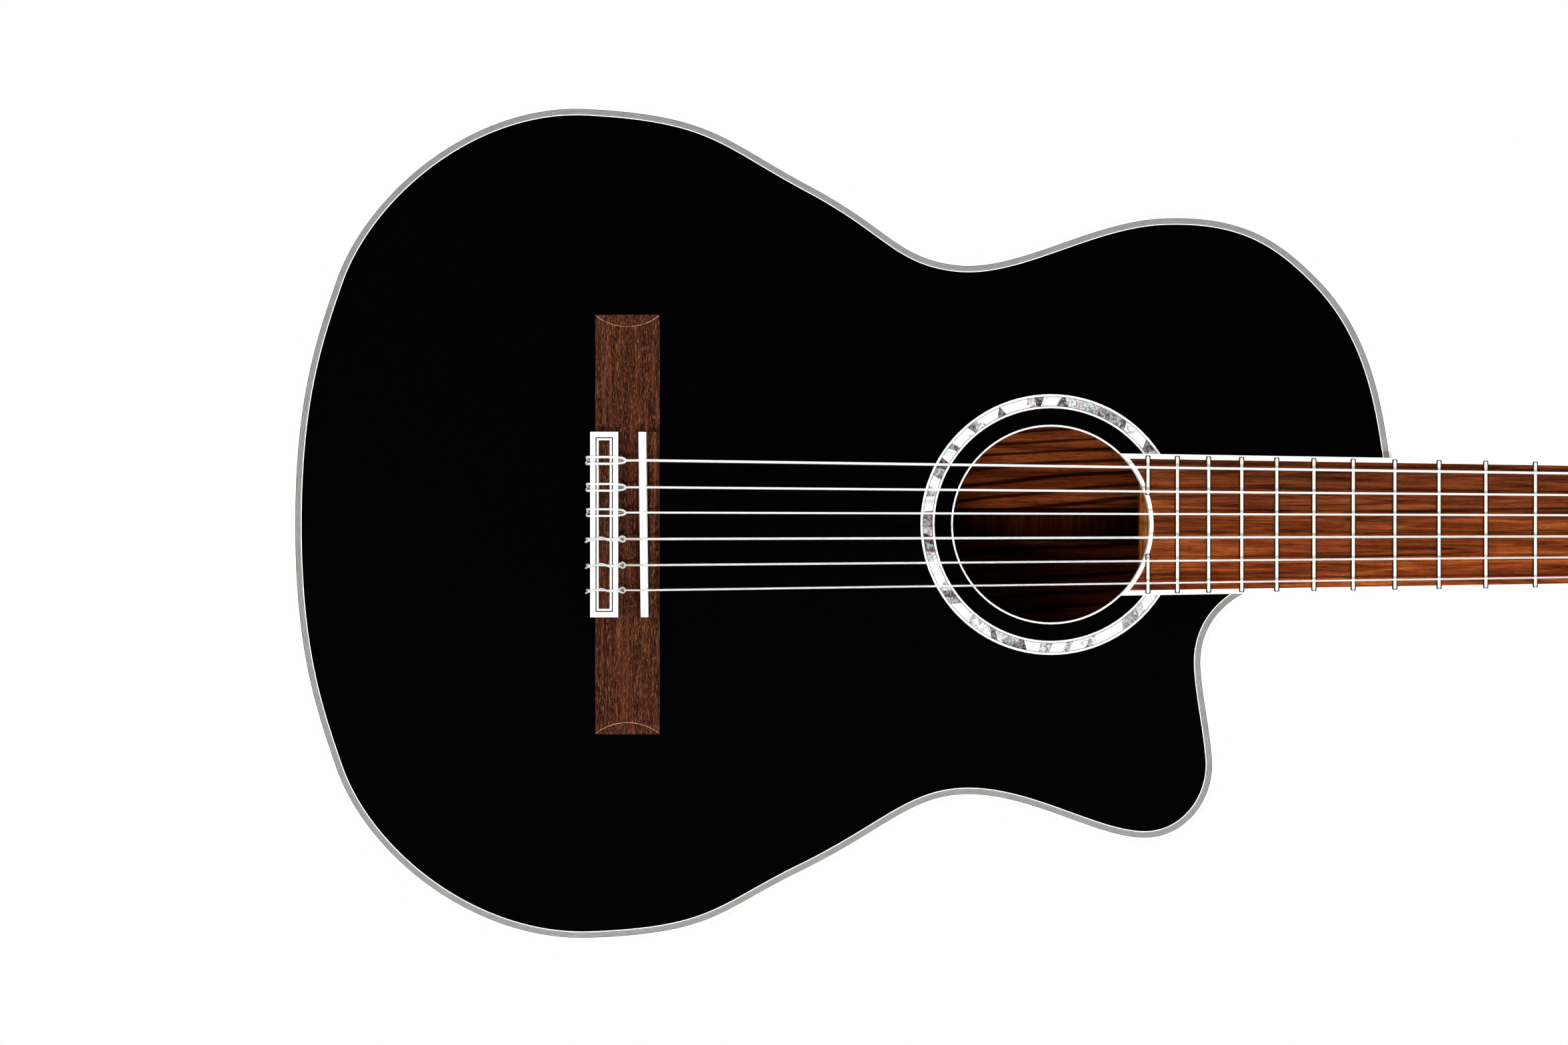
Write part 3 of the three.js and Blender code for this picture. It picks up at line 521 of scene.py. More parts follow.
def wire(points, radius, sides=12):
    """A round wire through points, its section carried along without twisting."""
    points = [Vector(p) for p in points]
    rings = []
    side = None
    for before, point, after in zip([points[0], *points], points, [*points[1:], points[-1]]):
        along = (after - before).normalized()
        if side is None:
            side = across(along)[0]
        side = (side - along * side.dot(along)).normalized()
        rings.append(round_ring(point, side, along.cross(side), radius, sides))
    return loft(rings, 60)


def smooth_path(points, steps=6):
    """Points on a Catmull-Rom curve through the given ones."""
    points = [Vector(p) for p in points]
    padded = [points[0] * 2 - points[1], *points, points[-1] * 2 - points[-2]]
    out = []
    for a, b, c, d in zip(padded, padded[1:], padded[2:], padded[3:]):
        for i in range(steps):
            t = i / steps
            out.append(0.5 * (2 * b + (c - a) * t + (2 * a - 5 * b + 4 * c - d) * t * t
                              + (3 * b - a - 3 * c + d) * t ** 3))
    return [*out, points[-1]]


def turned(profile, origin, axis, sides=32, angle=32):
    """A lathe of (radius, along) pairs about an axis through origin, starting and ending on the axis."""
    axis = Vector(axis).normalized()
    side, other = across(axis)
    rings = [round_ring(Vector(origin) + axis * along, side, other, r, sides) for r, along in profile]
    return loft(rings, angle)


def rod(radius, start, end):
    """A plain cylinder's lathe profile."""
    return [(ON_AXIS, start), (radius, start), (radius, end), (ON_AXIS, end)]


def cut(mesh, *tools):
    """mesh with the tools' room taken out of it."""
    holder = placed("cutting", mesh)
    tool = placed("tool", joined(*tools))
    modifier = holder.modifiers.new("cut", "BOOLEAN")
    modifier.operation = "DIFFERENCE"
    modifier.solver = "EXACT"
    modifier.use_self = True
    modifier.object = tool
    made = baked(holder)
    bpy.data.objects.remove(tool)
    smoothed(made)
    return made


# ---- Camera, light and floor ----
VIEW_W = 688
VIEW_CENTRE = (-0.9, -592.4)
CAMERA_DISTANCE = 3000
SENSOR_W = 36
FLOOR_Z, FLOOR_R, FLOOR_T = -1320, 2600, 20
# Name, place, target, size and power, in metres and watts. The key comes over the treble side, so that it
# reaches only the bass half of the back through the soundhole.
LIGHTS = (
    ("key", (1.3, -2.92, -0.475), (0, 0, -0.475), (0.35, 1.0), 72),
    ("fill", (-2.6, -1.6, -0.4), (0, 0, -0.5), (1.6, 2.2), 46),
    ("crown", (0.1, -2.0, 2.0), (0, 0, -0.3), (1.6, 1.2), 24),
    ("back", (-0.8, 2.4, 0.9), (0, 0, -0.4), (2.0, 2.0), 45),
)


def build_stage():
    camera = bpy.data.cameras.new("camera")
    camera.sensor_width = SENSOR_W
    camera.lens = SENSOR_W * CAMERA_DISTANCE / VIEW_W
    camera.clip_end = 50
    holder = placed("camera", camera)
    x, z = VIEW_CENTRE
    # Looking along +Y with the neck to the picture's right, so the picture's up is -X.
    holder.matrix_world = Matrix((
        (0, -1, 0, x * MM), (0, 0, -1, -CAMERA_DISTANCE * MM), (1, 0, 0, z * MM), (0, 0, 0, 1),
    ))
    bpy.context.scene.camera = holder
    bpy.context.scene.view_settings.view_transform = "Standard"
    for name, place, target, size, power in LIGHTS:
        light = bpy.data.lights.new(name, "AREA")
        light.shape = "RECTANGLE"
        light.size, light.size_y = size
        light.energy = power
        lamp = placed(name, light)
        lamp.location = place
        lamp.rotation_mode = "QUATERNION"
        lamp.rotation_quaternion = (Vector(target) - Vector(place)).to_track_quat("-Z", "Y")
    floor = slab([circle(FLOOR_R, 0, 0, 128)], -FLOOR_T, 0)
    floor.transform(Matrix.Translation((0, 0, FLOOR_Z * MM)) @ Matrix.Rotation(math.radians(90), 4, "X"))
    floor.materials.append(plastic("pale_floor", (0.82, 0.82, 0.81), 0.6, 0.01))
    placed("floor", floor)
    build_world()


def build_world():
    """White to look at, and a soft grey studio to light by, dark on the side that the soundboard faces."""
    world = bpy.data.worlds.new("studio")
    bpy.context.scene.world = world
    world.use_nodes = True
    tree = world.node_tree
    tree.nodes.clear()
    coords = tree.nodes.new("ShaderNodeTexCoord")
    split = tree.nodes.new("ShaderNodeSeparateXYZ")
    tree.links.new(coords.outputs["Generated"], split.inputs[0])
    ramp = tree.nodes.new("ShaderNodeMapRange")
    ramp.interpolation_type = "SMOOTHSTEP"
    for key, value in (("From Min", -0.97), ("From Max", -0.3), ("To Min", 0.0), ("To Max", 0.55)):
        ramp.inputs[key].default_value = value
    tree.links.new(split.outputs["Y"], ramp.inputs["Value"])
    studio = tree.nodes.new("ShaderNodeBackground")
    tree.links.new(ramp.outputs[0], studio.inputs["Strength"])
    backdrop = tree.nodes.new("ShaderNodeBackground")
    backdrop.inputs["Color"].default_value = (1, 1, 1, 1)
    rays = tree.nodes.new("ShaderNodeLightPath")
    chosen = tree.nodes.new("ShaderNodeMixShader")
    tree.links.new(rays.outputs["Is Camera Ray"], chosen.inputs[0])
    tree.links.new(studio.outputs[0], chosen.inputs[1])
    tree.links.new(backdrop.outputs[0], chosen.inputs[2])
    output = tree.nodes.new("ShaderNodeOutputWorld")
    tree.links.new(chosen.outputs[0], output.inputs[0])


# ---- Body outline ----
# Knots of one half: x out from the centre line, z up from the tail, heading in degrees, handle reaches.
BASS_KNOTS = (
    (0, 0, 0, 0, 55), (107, 18, 19, 27, 42), (184, 130, 93, 51, 56), (150, 228, 118, 42, 40),
    (115.5, 291.5, 97, 25, 27), (136, 383, 88, 33, 34), (108, 452, 136, 26, 33),
    (28.5, BODY_LENGTH, 172, 26, 0),
)
TREBLE_KNOTS = (
    (0, 0, 0, 0, 55), (107, 18, 19, 27, 42), (183, 131, 92, 51, 55), (153.5, 224, 116, 39, 41),
    (120, 295, 92, 23, 29), (139, 376, 93, 22, 18), (103, 405.5, 184, 18, 13), (63.5, 400.5, 184, 13, 31),
    (24, 452, 90, 21, 8), (24, BODY_LENGTH, 90, 8, 0),
)
EDGE_STEPS = 48


def bezier(points, t):
    a, b, c, d = points
    s = 1 - t
    at = a * s ** 3 + b * (3 * s * s * t) + c * (3 * s * t * t) + d * t ** 3
    run = (b - a) * (s * s) + (c - b) * (2 * s * t) + (d - c) * (t * t)
    return at, run.normalized()


def edge(knots, side, offset):
    """One half's edge from tail to neck as (x, z) points, moved inwards by an offset."""
    out = []
    for k, (start, end) in enumerate(zip(knots, knots[1:])):
        heads = [Vector((math.cos(math.radians(h)), math.sin(math.radians(h)))) for h in (start[2], end[2])]
        a, d = Vector(start[:2]), Vector(end[:2])
        points = (a, a + heads[0] * start[4], d - heads[1] * end[3], d)
        for i in range(1 if k else 0, EDGE_STEPS + 1):
            at, run = bezier(points, i / EDGE_STEPS)
            out.append((side * (at.x - run.y * offset), TAIL_Z + at.y + run.x * offset))
    return out


def bass_edge(offset):
    return edge(BASS_KNOTS, -1, offset)


def treble_edge(offset):
    return edge(TREBLE_KNOTS, 1, offset)


def whole_edge(offset):
    """The body's edge from the neck round the treble side and the tail to the neck again."""
    return treble_edge(offset)[::-1] + bass_edge(offset)[1:]


def depth_at(z):
    return lerp(DEPTH_AT_TAIL, DEPTH_AT_NECK, (z - TAIL_Z) / BODY_LENGTH)


def moulding(profile, route=whole_edge):
    """A strip that follows the body's edge. Its section is a list of (offset, y), and a y written as
    ("back", up) is measured up from the back's face."""
    paths = []
    for offset, y in profile:
        level = (lambda z, up=y[1]: depth_at(z) - up) if isinstance(y, tuple) else (lambda z, at=y: at)
        paths.append([(x, level(z), z) for x, z in route(offset)])
    return loft(list(zip(*paths)))


# ---- Soundbox ----
CREAM_W = 1.6
PURFLING = (
    ("grey", 0.4), ("pale", 0.2), *(("grey", 0.3), ("pale", 0.22)) * 3, ("grey", 0.3), ("white", 0.37),
)
FIELD = CREAM_W + sum(width for _, width in PURFLING)  # the black field starts here
RING_R = (43.0, 43.8)
ROSETTE_LINES = (
    (51.1, 51.95, "white"), (51.95, 52.2, "black"), (56.0, 56.25, "black"), (56.25, 57.2, "white"),
)
PEARL_R = (52.2, 56.0)
PEARL_GAP = 0.04
PEARL_TONES = ((0.22, 0.42, 3.4), (0.45, 0.66, 4.0), (0.74, 0.98, 6.5))  # darkest, palest, usual length
PEARL_T = 0.62
PEARL_COLUMNS = 6


def hole_rings(outer, inner):
    """The two loops of a ring about the soundhole's centre."""
    return [circle(outer, 0, HOLE_Z), circle(inner, 0, HOLE_Z)]


def build_soundboard():
    inner_field = hole_rings(ROSETTE_LINES[0][0], RING_R[1])
    piece("soundboard_inner_field", slab(inner_field, 0, PLATE_T), "lacquer")
    field = [whole_edge(FIELD), circle(ROSETTE_LINES[-1][1], 0, HOLE_Z)]
    piece("soundboard_field", slab(field, 0, PLATE_T), "lacquer", replaces=["soundboard"])
    ring = hole_rings(RING_R[1], RING_R[0])
    piece("soundhole_ring", slab(ring, -0.05, PLATE_T, 0.2), "white")
    for look in ("grey", "pale", "white"):
        strips = []
        offset = CREAM_W
        for tone, width in PURFLING:
            if tone == look:
                inner = offset + width
                strips.append(moulding([(offset, 0), (inner, 0), (inner, PLATE_T), (offset, PLATE_T)]))
            offset += width
        piece("purfling_" + look + "_lines", joined(*strips), look)


def pearl_blocks():
    """Random blocks, enough to go round, as (length, tone, lean of the joint that the block starts at)."""
    blocks = []
    while sum(length for length, _, _ in blocks) < 2 * math.pi * PEARL_R[1]:
        darkest, palest, usual = random.choices(PEARL_TONES, (3, 4, 4))[0]
        lean = random.choice((-1, 1)) * random.uniform(0.2, 1.5)
        blocks.append((usual * random.uniform(0.7, 1.3), random.uniform(darkest, palest), lean))
    return blocks


def block_corners(start, end, lean, next_lean):
    """A block's points, four to a column: the inner edge's front and back, then the outer edge's."""
    for c in range(PEARL_COLUMNS + 1):
        for radius, tilt in ((PEARL_R[0], -1), (PEARL_R[1], 1)):
            low = start + (lean * tilt + PEARL_GAP) / radius
            high = end + (next_lean * tilt - PEARL_GAP) / radius
            a = lerp(low, high, c / PEARL_COLUMNS)
            for y in (0.0, PEARL_T):
                yield radius * math.cos(a) * MM, y * MM, (HOLE_Z + radius * math.sin(a)) * MM


def add_block(made, corners, tone):
    """Adds one block's skin to a bmesh, each vertex marked with the block's tone."""
    tones = made.verts.layers.float["tone"]
    grid = [made.verts.new(corner) for corner in corners]
    for vert in grid:
        vert[tones] = tone
    for c in range(PEARL_COLUMNS):
        column = grid[4 * c:4 * c + 8]
        for quad in ((0, 2, 6, 4), (1, 5, 7, 3), (0, 4, 5, 1), (2, 3, 7, 6)):
            made.faces.new([column[q] for q in quad])
    made.faces.new([grid[q] for q in (0, 1, 3, 2)])
    made.faces.new([grid[-4 + q] for q in (0, 2, 3, 1)])


def build_rosette():
    for number, (inner, outer, tone) in enumerate(ROSETTE_LINES):
        mesh = slab(hole_rings(outer, inner), 0, PLATE_T)
        piece("rosette_line_%d" % (number + 1), mesh, tone)
    bed = hole_rings(ROSETTE_LINES[2][0], ROSETTE_LINES[1][1])
    piece("rosette_bed", slab(bed, 0.6, PLATE_T), "black")
    made = bmesh.new()
    made.verts.layers.float.new("tone")
    blocks = pearl_blocks()
    share = 2 * math.pi / sum(length for length, _, _ in blocks)
    start = 0.0
    for (length, tone, lean), (_, _, next_lean) in zip(blocks, blocks[1:] + blocks[:1]):
        end = start + length * share
        add_block(made, block_corners(start, end, lean, next_lean), tone)
        start = end
    bmesh.ops.recalc_face_normals(made, faces=made.faces)
    mesh = bpy.data.meshes.new("blocks")
    made.to_mesh(mesh)
    made.free()
    piece("rosette_pearl_blocks", mesh, "rosette_pearl", replaces=["rosette"])


def build_shell():
    top, back = BINDING_H, ("back", BINDING_H)
    for name, route in (("bass", bass_edge), ("treble", treble_edge)):
        rib = [(0, top), (0, back), (RIB_T, back), (RIB_T, top)]
        piece("rib_" + name, moulding(rib, route), "lacquer", replaces=["side_" + name])
    rounded = [(0, 6), (0, 1.0), (0.13, 0.5), (0.5, 0.13), (1.0, 0), (CREAM_W, 0), (CREAM_W, 6)]
    piece("front_binding", moulding(rounded), "cream", replaces=["top_binding"])
    behind = [(offset, ("back", y)) for offset, y in rounded]
    piece("rear_binding", moulding(behind), "cream", replaces=["back_binding"])
    strip = rectangle(-TAIL_INLAY_W / 2, TAIL_INLAY_W / 2, TAIL_Z - 0.05, TAIL_Z + 1.5)
    inlay = slab([strip], top, DEPTH_AT_TAIL - BINDING_H, 0.02)
    piece("tail_inlay_strip", inlay, "cream", replaces=["tail_inlay"])
    for look, low, high in (("black", CREAM_W, 2.0), ("white", 2.0, 2.5)):
        line = [(low, ("back", 0)), (high, ("back", 0)), (high, ("back", PLATE_T)), (low, ("back", PLATE_T))]
        piece("rear_purfling_" + look, moulding(line), look)
    for name, look, high, low, slot in (("back_outer_skin", "lacquer", 0, 1.3, "black_lacquer"),
                                        ("back_inner_ply", "back_wood", 1.3, PLATE_T, "rosewood")):
        outline = whole_edge(2.5)
        mesh = slab([outline], DEPTH_AT_TAIL - low, DEPTH_AT_TAIL - high)
        for vertex in mesh.vertices:
            vertex.co.y += (depth_at(vertex.co.z / MM) - DEPTH_AT_TAIL) * MM
        piece(name, mesh, look, replaces=["back_plate"] if high == 0 else ())


STRIP_W, STRIP_T, STRIP_BEVEL = 15, 2.2, 2
BACK_BARS = (-712, -575, -423)
# The first of these that a CAD node's name holds gives the node's look.
INSIDE_LOOKS = (
    ("upper_transverse_brace", "bare_mahogany"), ("brace", "spruce"), ("bridge_patch", "spruce"),
    ("neck_block", "bare_mahogany"), ("tail_block", "bare_mahogany"), ("lining", "lining"),
    ("neck_bar", "steel"),
)


def build_interior():
    """The back's centre strip between its braces, and plain looks on the CAD nodes that nothing replaces."""
    half = STRIP_W / 2
    stops = [TAIL_Z + 24, *BACK_BARS, BODY_END_Z - 47]
    runs = []
    for low, high in zip(stops, stops[1:]):
        a, b = low + 5, high - 5
        ring = []
        for z in (a, b):
            face = depth_at(z) - PLATE_T
            ring.append([(-half, face, z), (-half + STRIP_BEVEL, face - STRIP_T, z),
                         (half - STRIP_BEVEL, face - STRIP_T, z), (half, face, z)])
        runs.append(loft(ring))
    piece("back_centre_strip", joined(*runs), "strip_wood")
    for name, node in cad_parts.items():
        looks = [look for words, look in INSIDE_LOOKS if words in name]
        if looks:
            node.data.materials[0] = LOOKS[looks[0]]


# ---- Neck and fingerboard ----
SHAFT_END_Z = -14
VOLUTE_Z = (-16, 34)  # up the neck, then up the headstock
BOARD_EDGE_W, BOARD_END_W = 2.2, 1.7


def board_half(z):
    return (NUT_W - z * BOARD_TAPER) / 2


def neck_depth(z):
    return lerp(NECK_DEPTH[0], NECK_DEPTH[1], z / BODY_END_Z)


def neck_field(x, y, z):
    """Below zero inside the neck's shaft or heel, which flow into each other; roughly millimetres."""
    b, d = board_half(z), neck_depth(z)
    shaft = ((abs(x) / b) ** 2.67 + (y / d) ** 2.35) ** 0.45 * d - d
    t = y / HEEL_DEPTH
    half = lerp(HEEL_W[0], HEEL_W[1], min(1, t * 1.25) ** 0.8) / 2
    length = lerp(HEEL_L[0], HEEL_L[1], min(1, t * 1.6) ** 0.5)
    along = max(z - BODY_END_Z - 0.3, 0)
    heel = ((abs(x) / half) ** 2.22 + (along / length) ** 2.5) ** 0.43 * half - half
    blend = 5.0
    h = max(blend - abs(shaft - heel), 0) / blend
    return max(min(shaft, heel) - h * h * blend / 4, y - HEEL_DEPTH)


def neck_ring(z, count=36):
    """The section's outline from one top corner round the back to the other."""
    ring = []
    for i in range(count + 1):
        angle = math.pi * i / count
        dx, dy = math.cos(angle), math.sin(angle)
        if i in (0, count):
            dy = 0.0
        low, high = 0.0, 110.0
        for _ in range(34):
            middle = (low + high) / 2
            if neck_field(middle * dx, middle * dy, z) < 0:
                low = middle
            else:
                high = middle
        ring.append((low * dx, low * dy, z))
    return ring


def head_matrix():
    return Matrix.Translation((0, 0, NUT_L * MM)) @ Matrix.Rotation(-HEAD_TILT, 4, "X")


def on_head(mesh):
    mesh.transform(head_matrix())
    return mesh


def head_point(x, y, z):
    return (head_matrix() @ (Vector((x, y, z)) * MM)) / MM


def sampled(start, *stretches):
    """Points along straight stretches (one point) and Bezier stretches (three points)."""
    out = [Vector(start)]
    for stretch in stretches:
        if len(stretch) == 1:
            out.append(Vector(stretch[0]))
            continue
        points = (out[-1], *map(Vector, stretch))
        out.extend(bezier(points, i / 14)[0] for i in range(1, 15))
    return [(p.x, p.y) for p in out[:-1]]


def head_outline():
    n, h, top = NUT_W / 2, HEAD_HALF, HEAD_L
    return sampled(
        (-n, 0), [(n, 0)], [(n, 9), (h, 9), (h, HEAD_SHOULDER_Z)], [(h, top - 20)],
        [(h - 4, top - 4), (18, top - 10), (0, top)], [(-18, top - 10), (-h + 4, top - 4), (-h, top - 20)],
        [(-h, HEAD_SHOULDER_Z)], [(-h, 9), (-n, 9), (-n, 0)],
    )


def slot_outline(side):
    radius = (SLOT_X[1] - SLOT_X[0]) / 2
    x = side * (SLOT_X[0] + SLOT_X[1]) / 2
    out = []
    for z, start in ((SLOT_Z[1] - radius, 0), (SLOT_Z[0] + radius, math.pi)):
        for i in range(25):
            a = start + math.pi * i / 24
            out.append((x + radius * math.cos(a), z + radius * math.sin(a)))
    return out


def shaft_rings():
    """Sections from the body to the nut, close together along the heel."""
    heel = [BODY_END_Z + 0.3 + 46 * (i / 60) for i in range(61)]
    shaft = [lerp(BODY_END_Z + 50, SHAFT_END_Z, i / 12) for i in range(13)]
    rings = [neck_ring(z) for z in [*heel, *shaft]]
    for i in range(1, 9):
        z = lerp(SHAFT_END_Z, NUT_L, i / 8)
        rings.append([(x, y, z) for x, y, _ in neck_ring(min(z, -1))])
    return rings


def volute_rings():
    """Sections that lead from the shaft's back into the headstock's, hollowed a little between."""
    rings = []
    for i in range(13):
        t = i / 12
        ease = t * t * (3 - 2 * t)
        ring = []
        for x, y, z in neck_ring(VOLUTE_Z[0]):
            high = head_point(x * 1.1, min(y * 1.2, HEAD_T - 0.2), VOLUTE_Z[1])
            hollow = (0, 2.2 * ease * (1 - ease) * (y / 16), 0)
            ring.append(tuple(lerp(p, q, t) - down for p, q, down in zip((x, y, z), high, hollow)))
        rings.append(ring)
    return rings


def headstock_mesh(loops):
    """The slotted plate with its roller bores."""
    bore_r = ROLLER_R + 0.4
    bores = []
    for x0, x1 in ((-HEAD_HALF - 2, 6 - SLOT_X[0]), (SLOT_X[0] - 6, HEAD_HALF + 2)):
        for z in TUNER_Z:
            bores.append(turned([(bore_r, x0), (bore_r, x1)], (0, ROLLER_Y, z), (1, 0, 0)))
    return on_head(cut(slab(loops, 0, HEAD_T, 0.7), *bores))


def build_neck():
    piece("neck_shaft", loft(shaft_rings(), 40), "mahogany", replaces=["neck"])
    loops = [head_outline(), slot_outline(-1), slot_outline(1)]
    piece("headstock_wood", headstock_mesh(loops), "mahogany", replaces=["headstock"])
    piece("neck_volute", loft(volute_rings(), 40), "mahogany")
    veneer = slab(loops, -1.8, -0.02, 0.25)
    piece("headstock_face", on_head(veneer), "lacquer", replaces=["headstock_veneer"])
    piece("heel_cap_plate", slab([heel_cap_outline()], HEEL_DEPTH + 0.02, DEPTH_AT_NECK, 0.4), "cream",
          replaces=["heel_cap"])


def heel_cap_outline(count=40):
    out = []
    for i in range(count + 1):
        angle = math.pi * i / count
        across_share = math.copysign(abs(math.cos(angle)) ** 0.9, math.cos(angle))
        reach = HEEL_L[1] * max(math.sin(angle), 0) ** 0.8
        out.append((HEEL_W[1] / 2 * across_share, BODY_END_Z + 0.3 + reach))
    return out


def board_outline(inset, end_inset):
    """The fingerboard's outline, its lower end cut by the soundhole's circle."""
    radius = RING_R[0] + end_inset
    half = board_half(HOLE_Z + 30) - inset
    for _ in range(12):
        half = board_half(HOLE_Z + math.sqrt(radius * radius - half * half)) - inset
    start = math.acos(-half / radius)
    arc = [(radius * math.cos(a), HOLE_Z + radius * math.sin(a))
           for a in (lerp(start, math.pi - start, i / 48) for i in range(49))]
    return arc + [(board_half(0) - inset, -0.05), (-board_half(0) + inset, -0.05)]


def fret_mesh(z, x0, x1):
    """Fret wire: a domed crown that is bevelled down at its ends."""
    foot = BOARD_T + 0.28
    rings = []
    for x, grow in ((x0, 0.55), (x0 + 0.3, 0.9), (x0 + 0.8, 1), (x1 - 0.8, 1), (x1 - 0.3, 0.9), (x1, 0.55)):
        half = FRET_HALF * (0.55 + 0.45 * grow)
        ring = [(x, -foot, z - half)]
        for i in range(13):
            a = math.pi * i / 12
            rise = (FRET_TOP - foot) * grow * math.sin(a) ** 0.9
            ring.append((x, -foot - 0.1 - max(rise - 0.1, 0), z - half * math.cos(a)))
        ring.append((x, -foot, z + half))
        rings.append(ring)
    return loft(rings, 60)


def build_fingerboard():
    low, high = -BOARD_T - 0.3, -0.02
    wood_loop = board_outline(BOARD_EDGE_W, BOARD_END_W)
    piece("fingerboard_wood", slab([wood_loop], low, high), "board_wood", replaces=["fingerboard"])
    rim = slab([board_outline(0, 0)], low, high, 0.35)
    inner = slab([wood_loop], low - 2, high + 2)
    piece("fingerboard_edging", cut(rim, inner), "cream", replaces=["fingerboard_binding"])
    for fret in range(1, FRET_COUNT + 1):
        z = SCALE_LENGTH * 2 ** (-fret / 12) - SCALE_LENGTH
        half = board_half(z) - FRET_INSET
        if fret < FRET_COUNT:
            mesh = fret_mesh(z, -half, half)
        else:
            mesh = joined(fret_mesh(z, -half, -LAST_FRET_GAP), fret_mesh(z, LAST_FRET_GAP, half))
        piece("fret_%02d" % fret, mesh, "fret")
    build_nut()


def build_nut():
    h = NUT_H
    profile = [(0, 0.05), (NUT_L, 0.05), (NUT_L, h - 1.8), (NUT_L - 0.5, h - 1.0), (NUT_L - 1.4, h - 0.4),
               (NUT_L - 2.6, h - 0.08), (1, h), (0.25, h - 0.1), (0, h - 0.35)]
    blank = bar(profile, -NUT_W / 2, NUT_W / 2)
    grooves = []
    for n in STRINGS:
        r = STRING_RADII[n - 1] + 0.06
        x = string_x(n, 0)
        y = string_y(n, 0)
        grooves.append(wire([(x, y, -2), (x, y + 0.15, 7)], r, 16))
    piece("nut_bone", cut(blank, *grooves), "bone", replaces=["nut"])


# ---- Bridge ----
def string_x(n, end):
    return STRING_SPREAD[end] * (0.5 - (n - 1) / 5) + STRING_SLIP[n - 1]


def string_y(n, end):
    """Height of a string's middle at the nut (0) and over the saddle (1)."""
    return (-NUT_H + 0.35, -SADDLE_H[1])[end] - STRING_RADII[n - 1] * (0.6, 1.0)[end]


WING_Z = (BRIDGE_Z - WING_L / 2 + 0.5, BRIDGE_Z + WING_L / 2 + 0.5)
WING_EDGE_H = WING_H - 1.7
FACET_RUN = 3.06  # how far a facet reaches inwards for each millimetre that it climbs


def wing_arch(share):
    """How far the wings' arch rises above their long edges, across the bridge."""
    return (WING_H - WING_EDGE_H) * (1 - (2 * share - 1) ** 2) ** 0.85


def facet_edge(side):
    """The pale line where a facet meets the arch: partly edge wear, partly a painted highlight of the edge
    catching light.
    """
    points = []
    for k in range(1, 48):
        rise = wing_arch(k / 48)
        points.append((side * (BRIDGE_W / 2 - FACET_RUN * rise), -WING_EDGE_H - rise, lerp(*WING_Z, k / 48)))
    return wire(points, 0.13, 6)


def wing_mesh():
    """Both wings in one arched bar, planed off at each end so that the facet shows as a crescent."""
    z0, z1 = WING_Z
    rings = []
    for i in range(49):
        x = lerp(-BRIDGE_W / 2, BRIDGE_W / 2, i / 48)
        ring = [(x, -0.02, z0)]
        for k in range(25):
            ring.append((x, -WING_EDGE_H - wing_arch(k / 24), lerp(z0, z1, k / 24)))
        ring.append((x, -0.02, z1))
        rings.append(ring)
    made = bmesh.new()
    made.from_mesh(loft(rings, 25))
    for side in (-1, 1):
        corner = Vector((side * BRIDGE_W / 2, -WING_EDGE_H, BRIDGE_Z)) * MM
        normal = Vector((side, -FACET_RUN, 0)).normalized()
        everything = [*made.verts, *made.edges, *made.faces]
        rim = bmesh.ops.bisect_plane(
            made, geom=everything, plane_co=corner, plane_no=normal, clear_outer=True,
        )["geom_cut"]
        bmesh.ops.holes_fill(made, edges=[e for e in rim if isinstance(e, bmesh.types.BMEdge)])
    bmesh.ops.recalc_face_normals(made, faces=made.faces)
    mesh = bpy.data.meshes.new("wings")
    made.to_mesh(mesh)
    made.free()
    smoothed(mesh, 14)
    return mesh


def build_bridge():
    half = BLOCK_W / 2
    (b0, b1), (t0, t1) = BLOCK_Z, TROUGH_Z
    top = BLOCK_H - 0.6
    slot_z = (t1, t1 + SADDLE_T + 1.2)
    block = [(b0, 0.02), (b1, 0.02), (b1, top - 2.2), (b1 - 0.4, top - 1.1), (b1 - 1.1, top - 0.4),
             (b1 - 2.2, top), (slot_z[1], top), (slot_z[1], SADDLE_H[0]), (slot_z[0], SADDLE_H[0]),
             (slot_z[0], top - 1.6),
             (t1 - 0.5, top - 2.1), (t1 - 1.2, TROUGH_H + 0.2), (t1 - 1.8, TROUGH_H), (t0 + 0.6, TROUGH_H),
             (t0, TROUGH_H + 0.6), (t0, BLOCK_H), (b0, BLOCK_H)]
    holes = [turned([(TIE_HOLE_R, 0), (TIE_HOLE_R, 20)], (string_x(n, 1), -TIE_HOLE_H, b0 - 4), (0, 0, 1), 16)
             for n in STRINGS]
    piece("bridge_block", cut(bar(block, -half, half, 0.25), *holes), "bridge_wood")
    piece("bridge_wings", wing_mesh(), "bridge_wood", replaces=["bridge"])
    # A pale wire along each facet's edge: partly wear, partly a painted highlight.
    piece("bridge_wear_and_highlight_edges", joined(facet_edge(-1), facet_edge(1)), "wear_and_highlight_edge")
    build_tie_plate()
    build_saddle()


def build_tie_plate():
    """The inlaid cover of the tie block: white frame, black line, white line and a wood middle."""
    low, high = -PLATE_TOP, -BLOCK_H - 0.01
    half = BLOCK_W / 2
    (b0, _), (t0, _) = BLOCK_Z, TROUGH_Z

    def frame_loop(inset):
        return rectangle(-half + inset, half - inset, b0 + inset, t0 - inset)

    insets = (("white", 0, 2.4), ("black", 2.4, 2.85), ("white", 2.85, 3.7))
    for number, (tone, outer, inner) in enumerate(insets):
        mesh = slab([frame_loop(outer), frame_loop(inner)], low, high, 0.3 if number == 0 else 0.0)
        piece("tie_plate_line_%d" % (number + 1), mesh, "bone" if tone == "white" else tone,
              replaces=["tie_block_plate"] if number == 0 else ())
    piece("tie_plate_wood", slab([frame_loop(3.7)], low + 0.02, high), "bridge_wood")


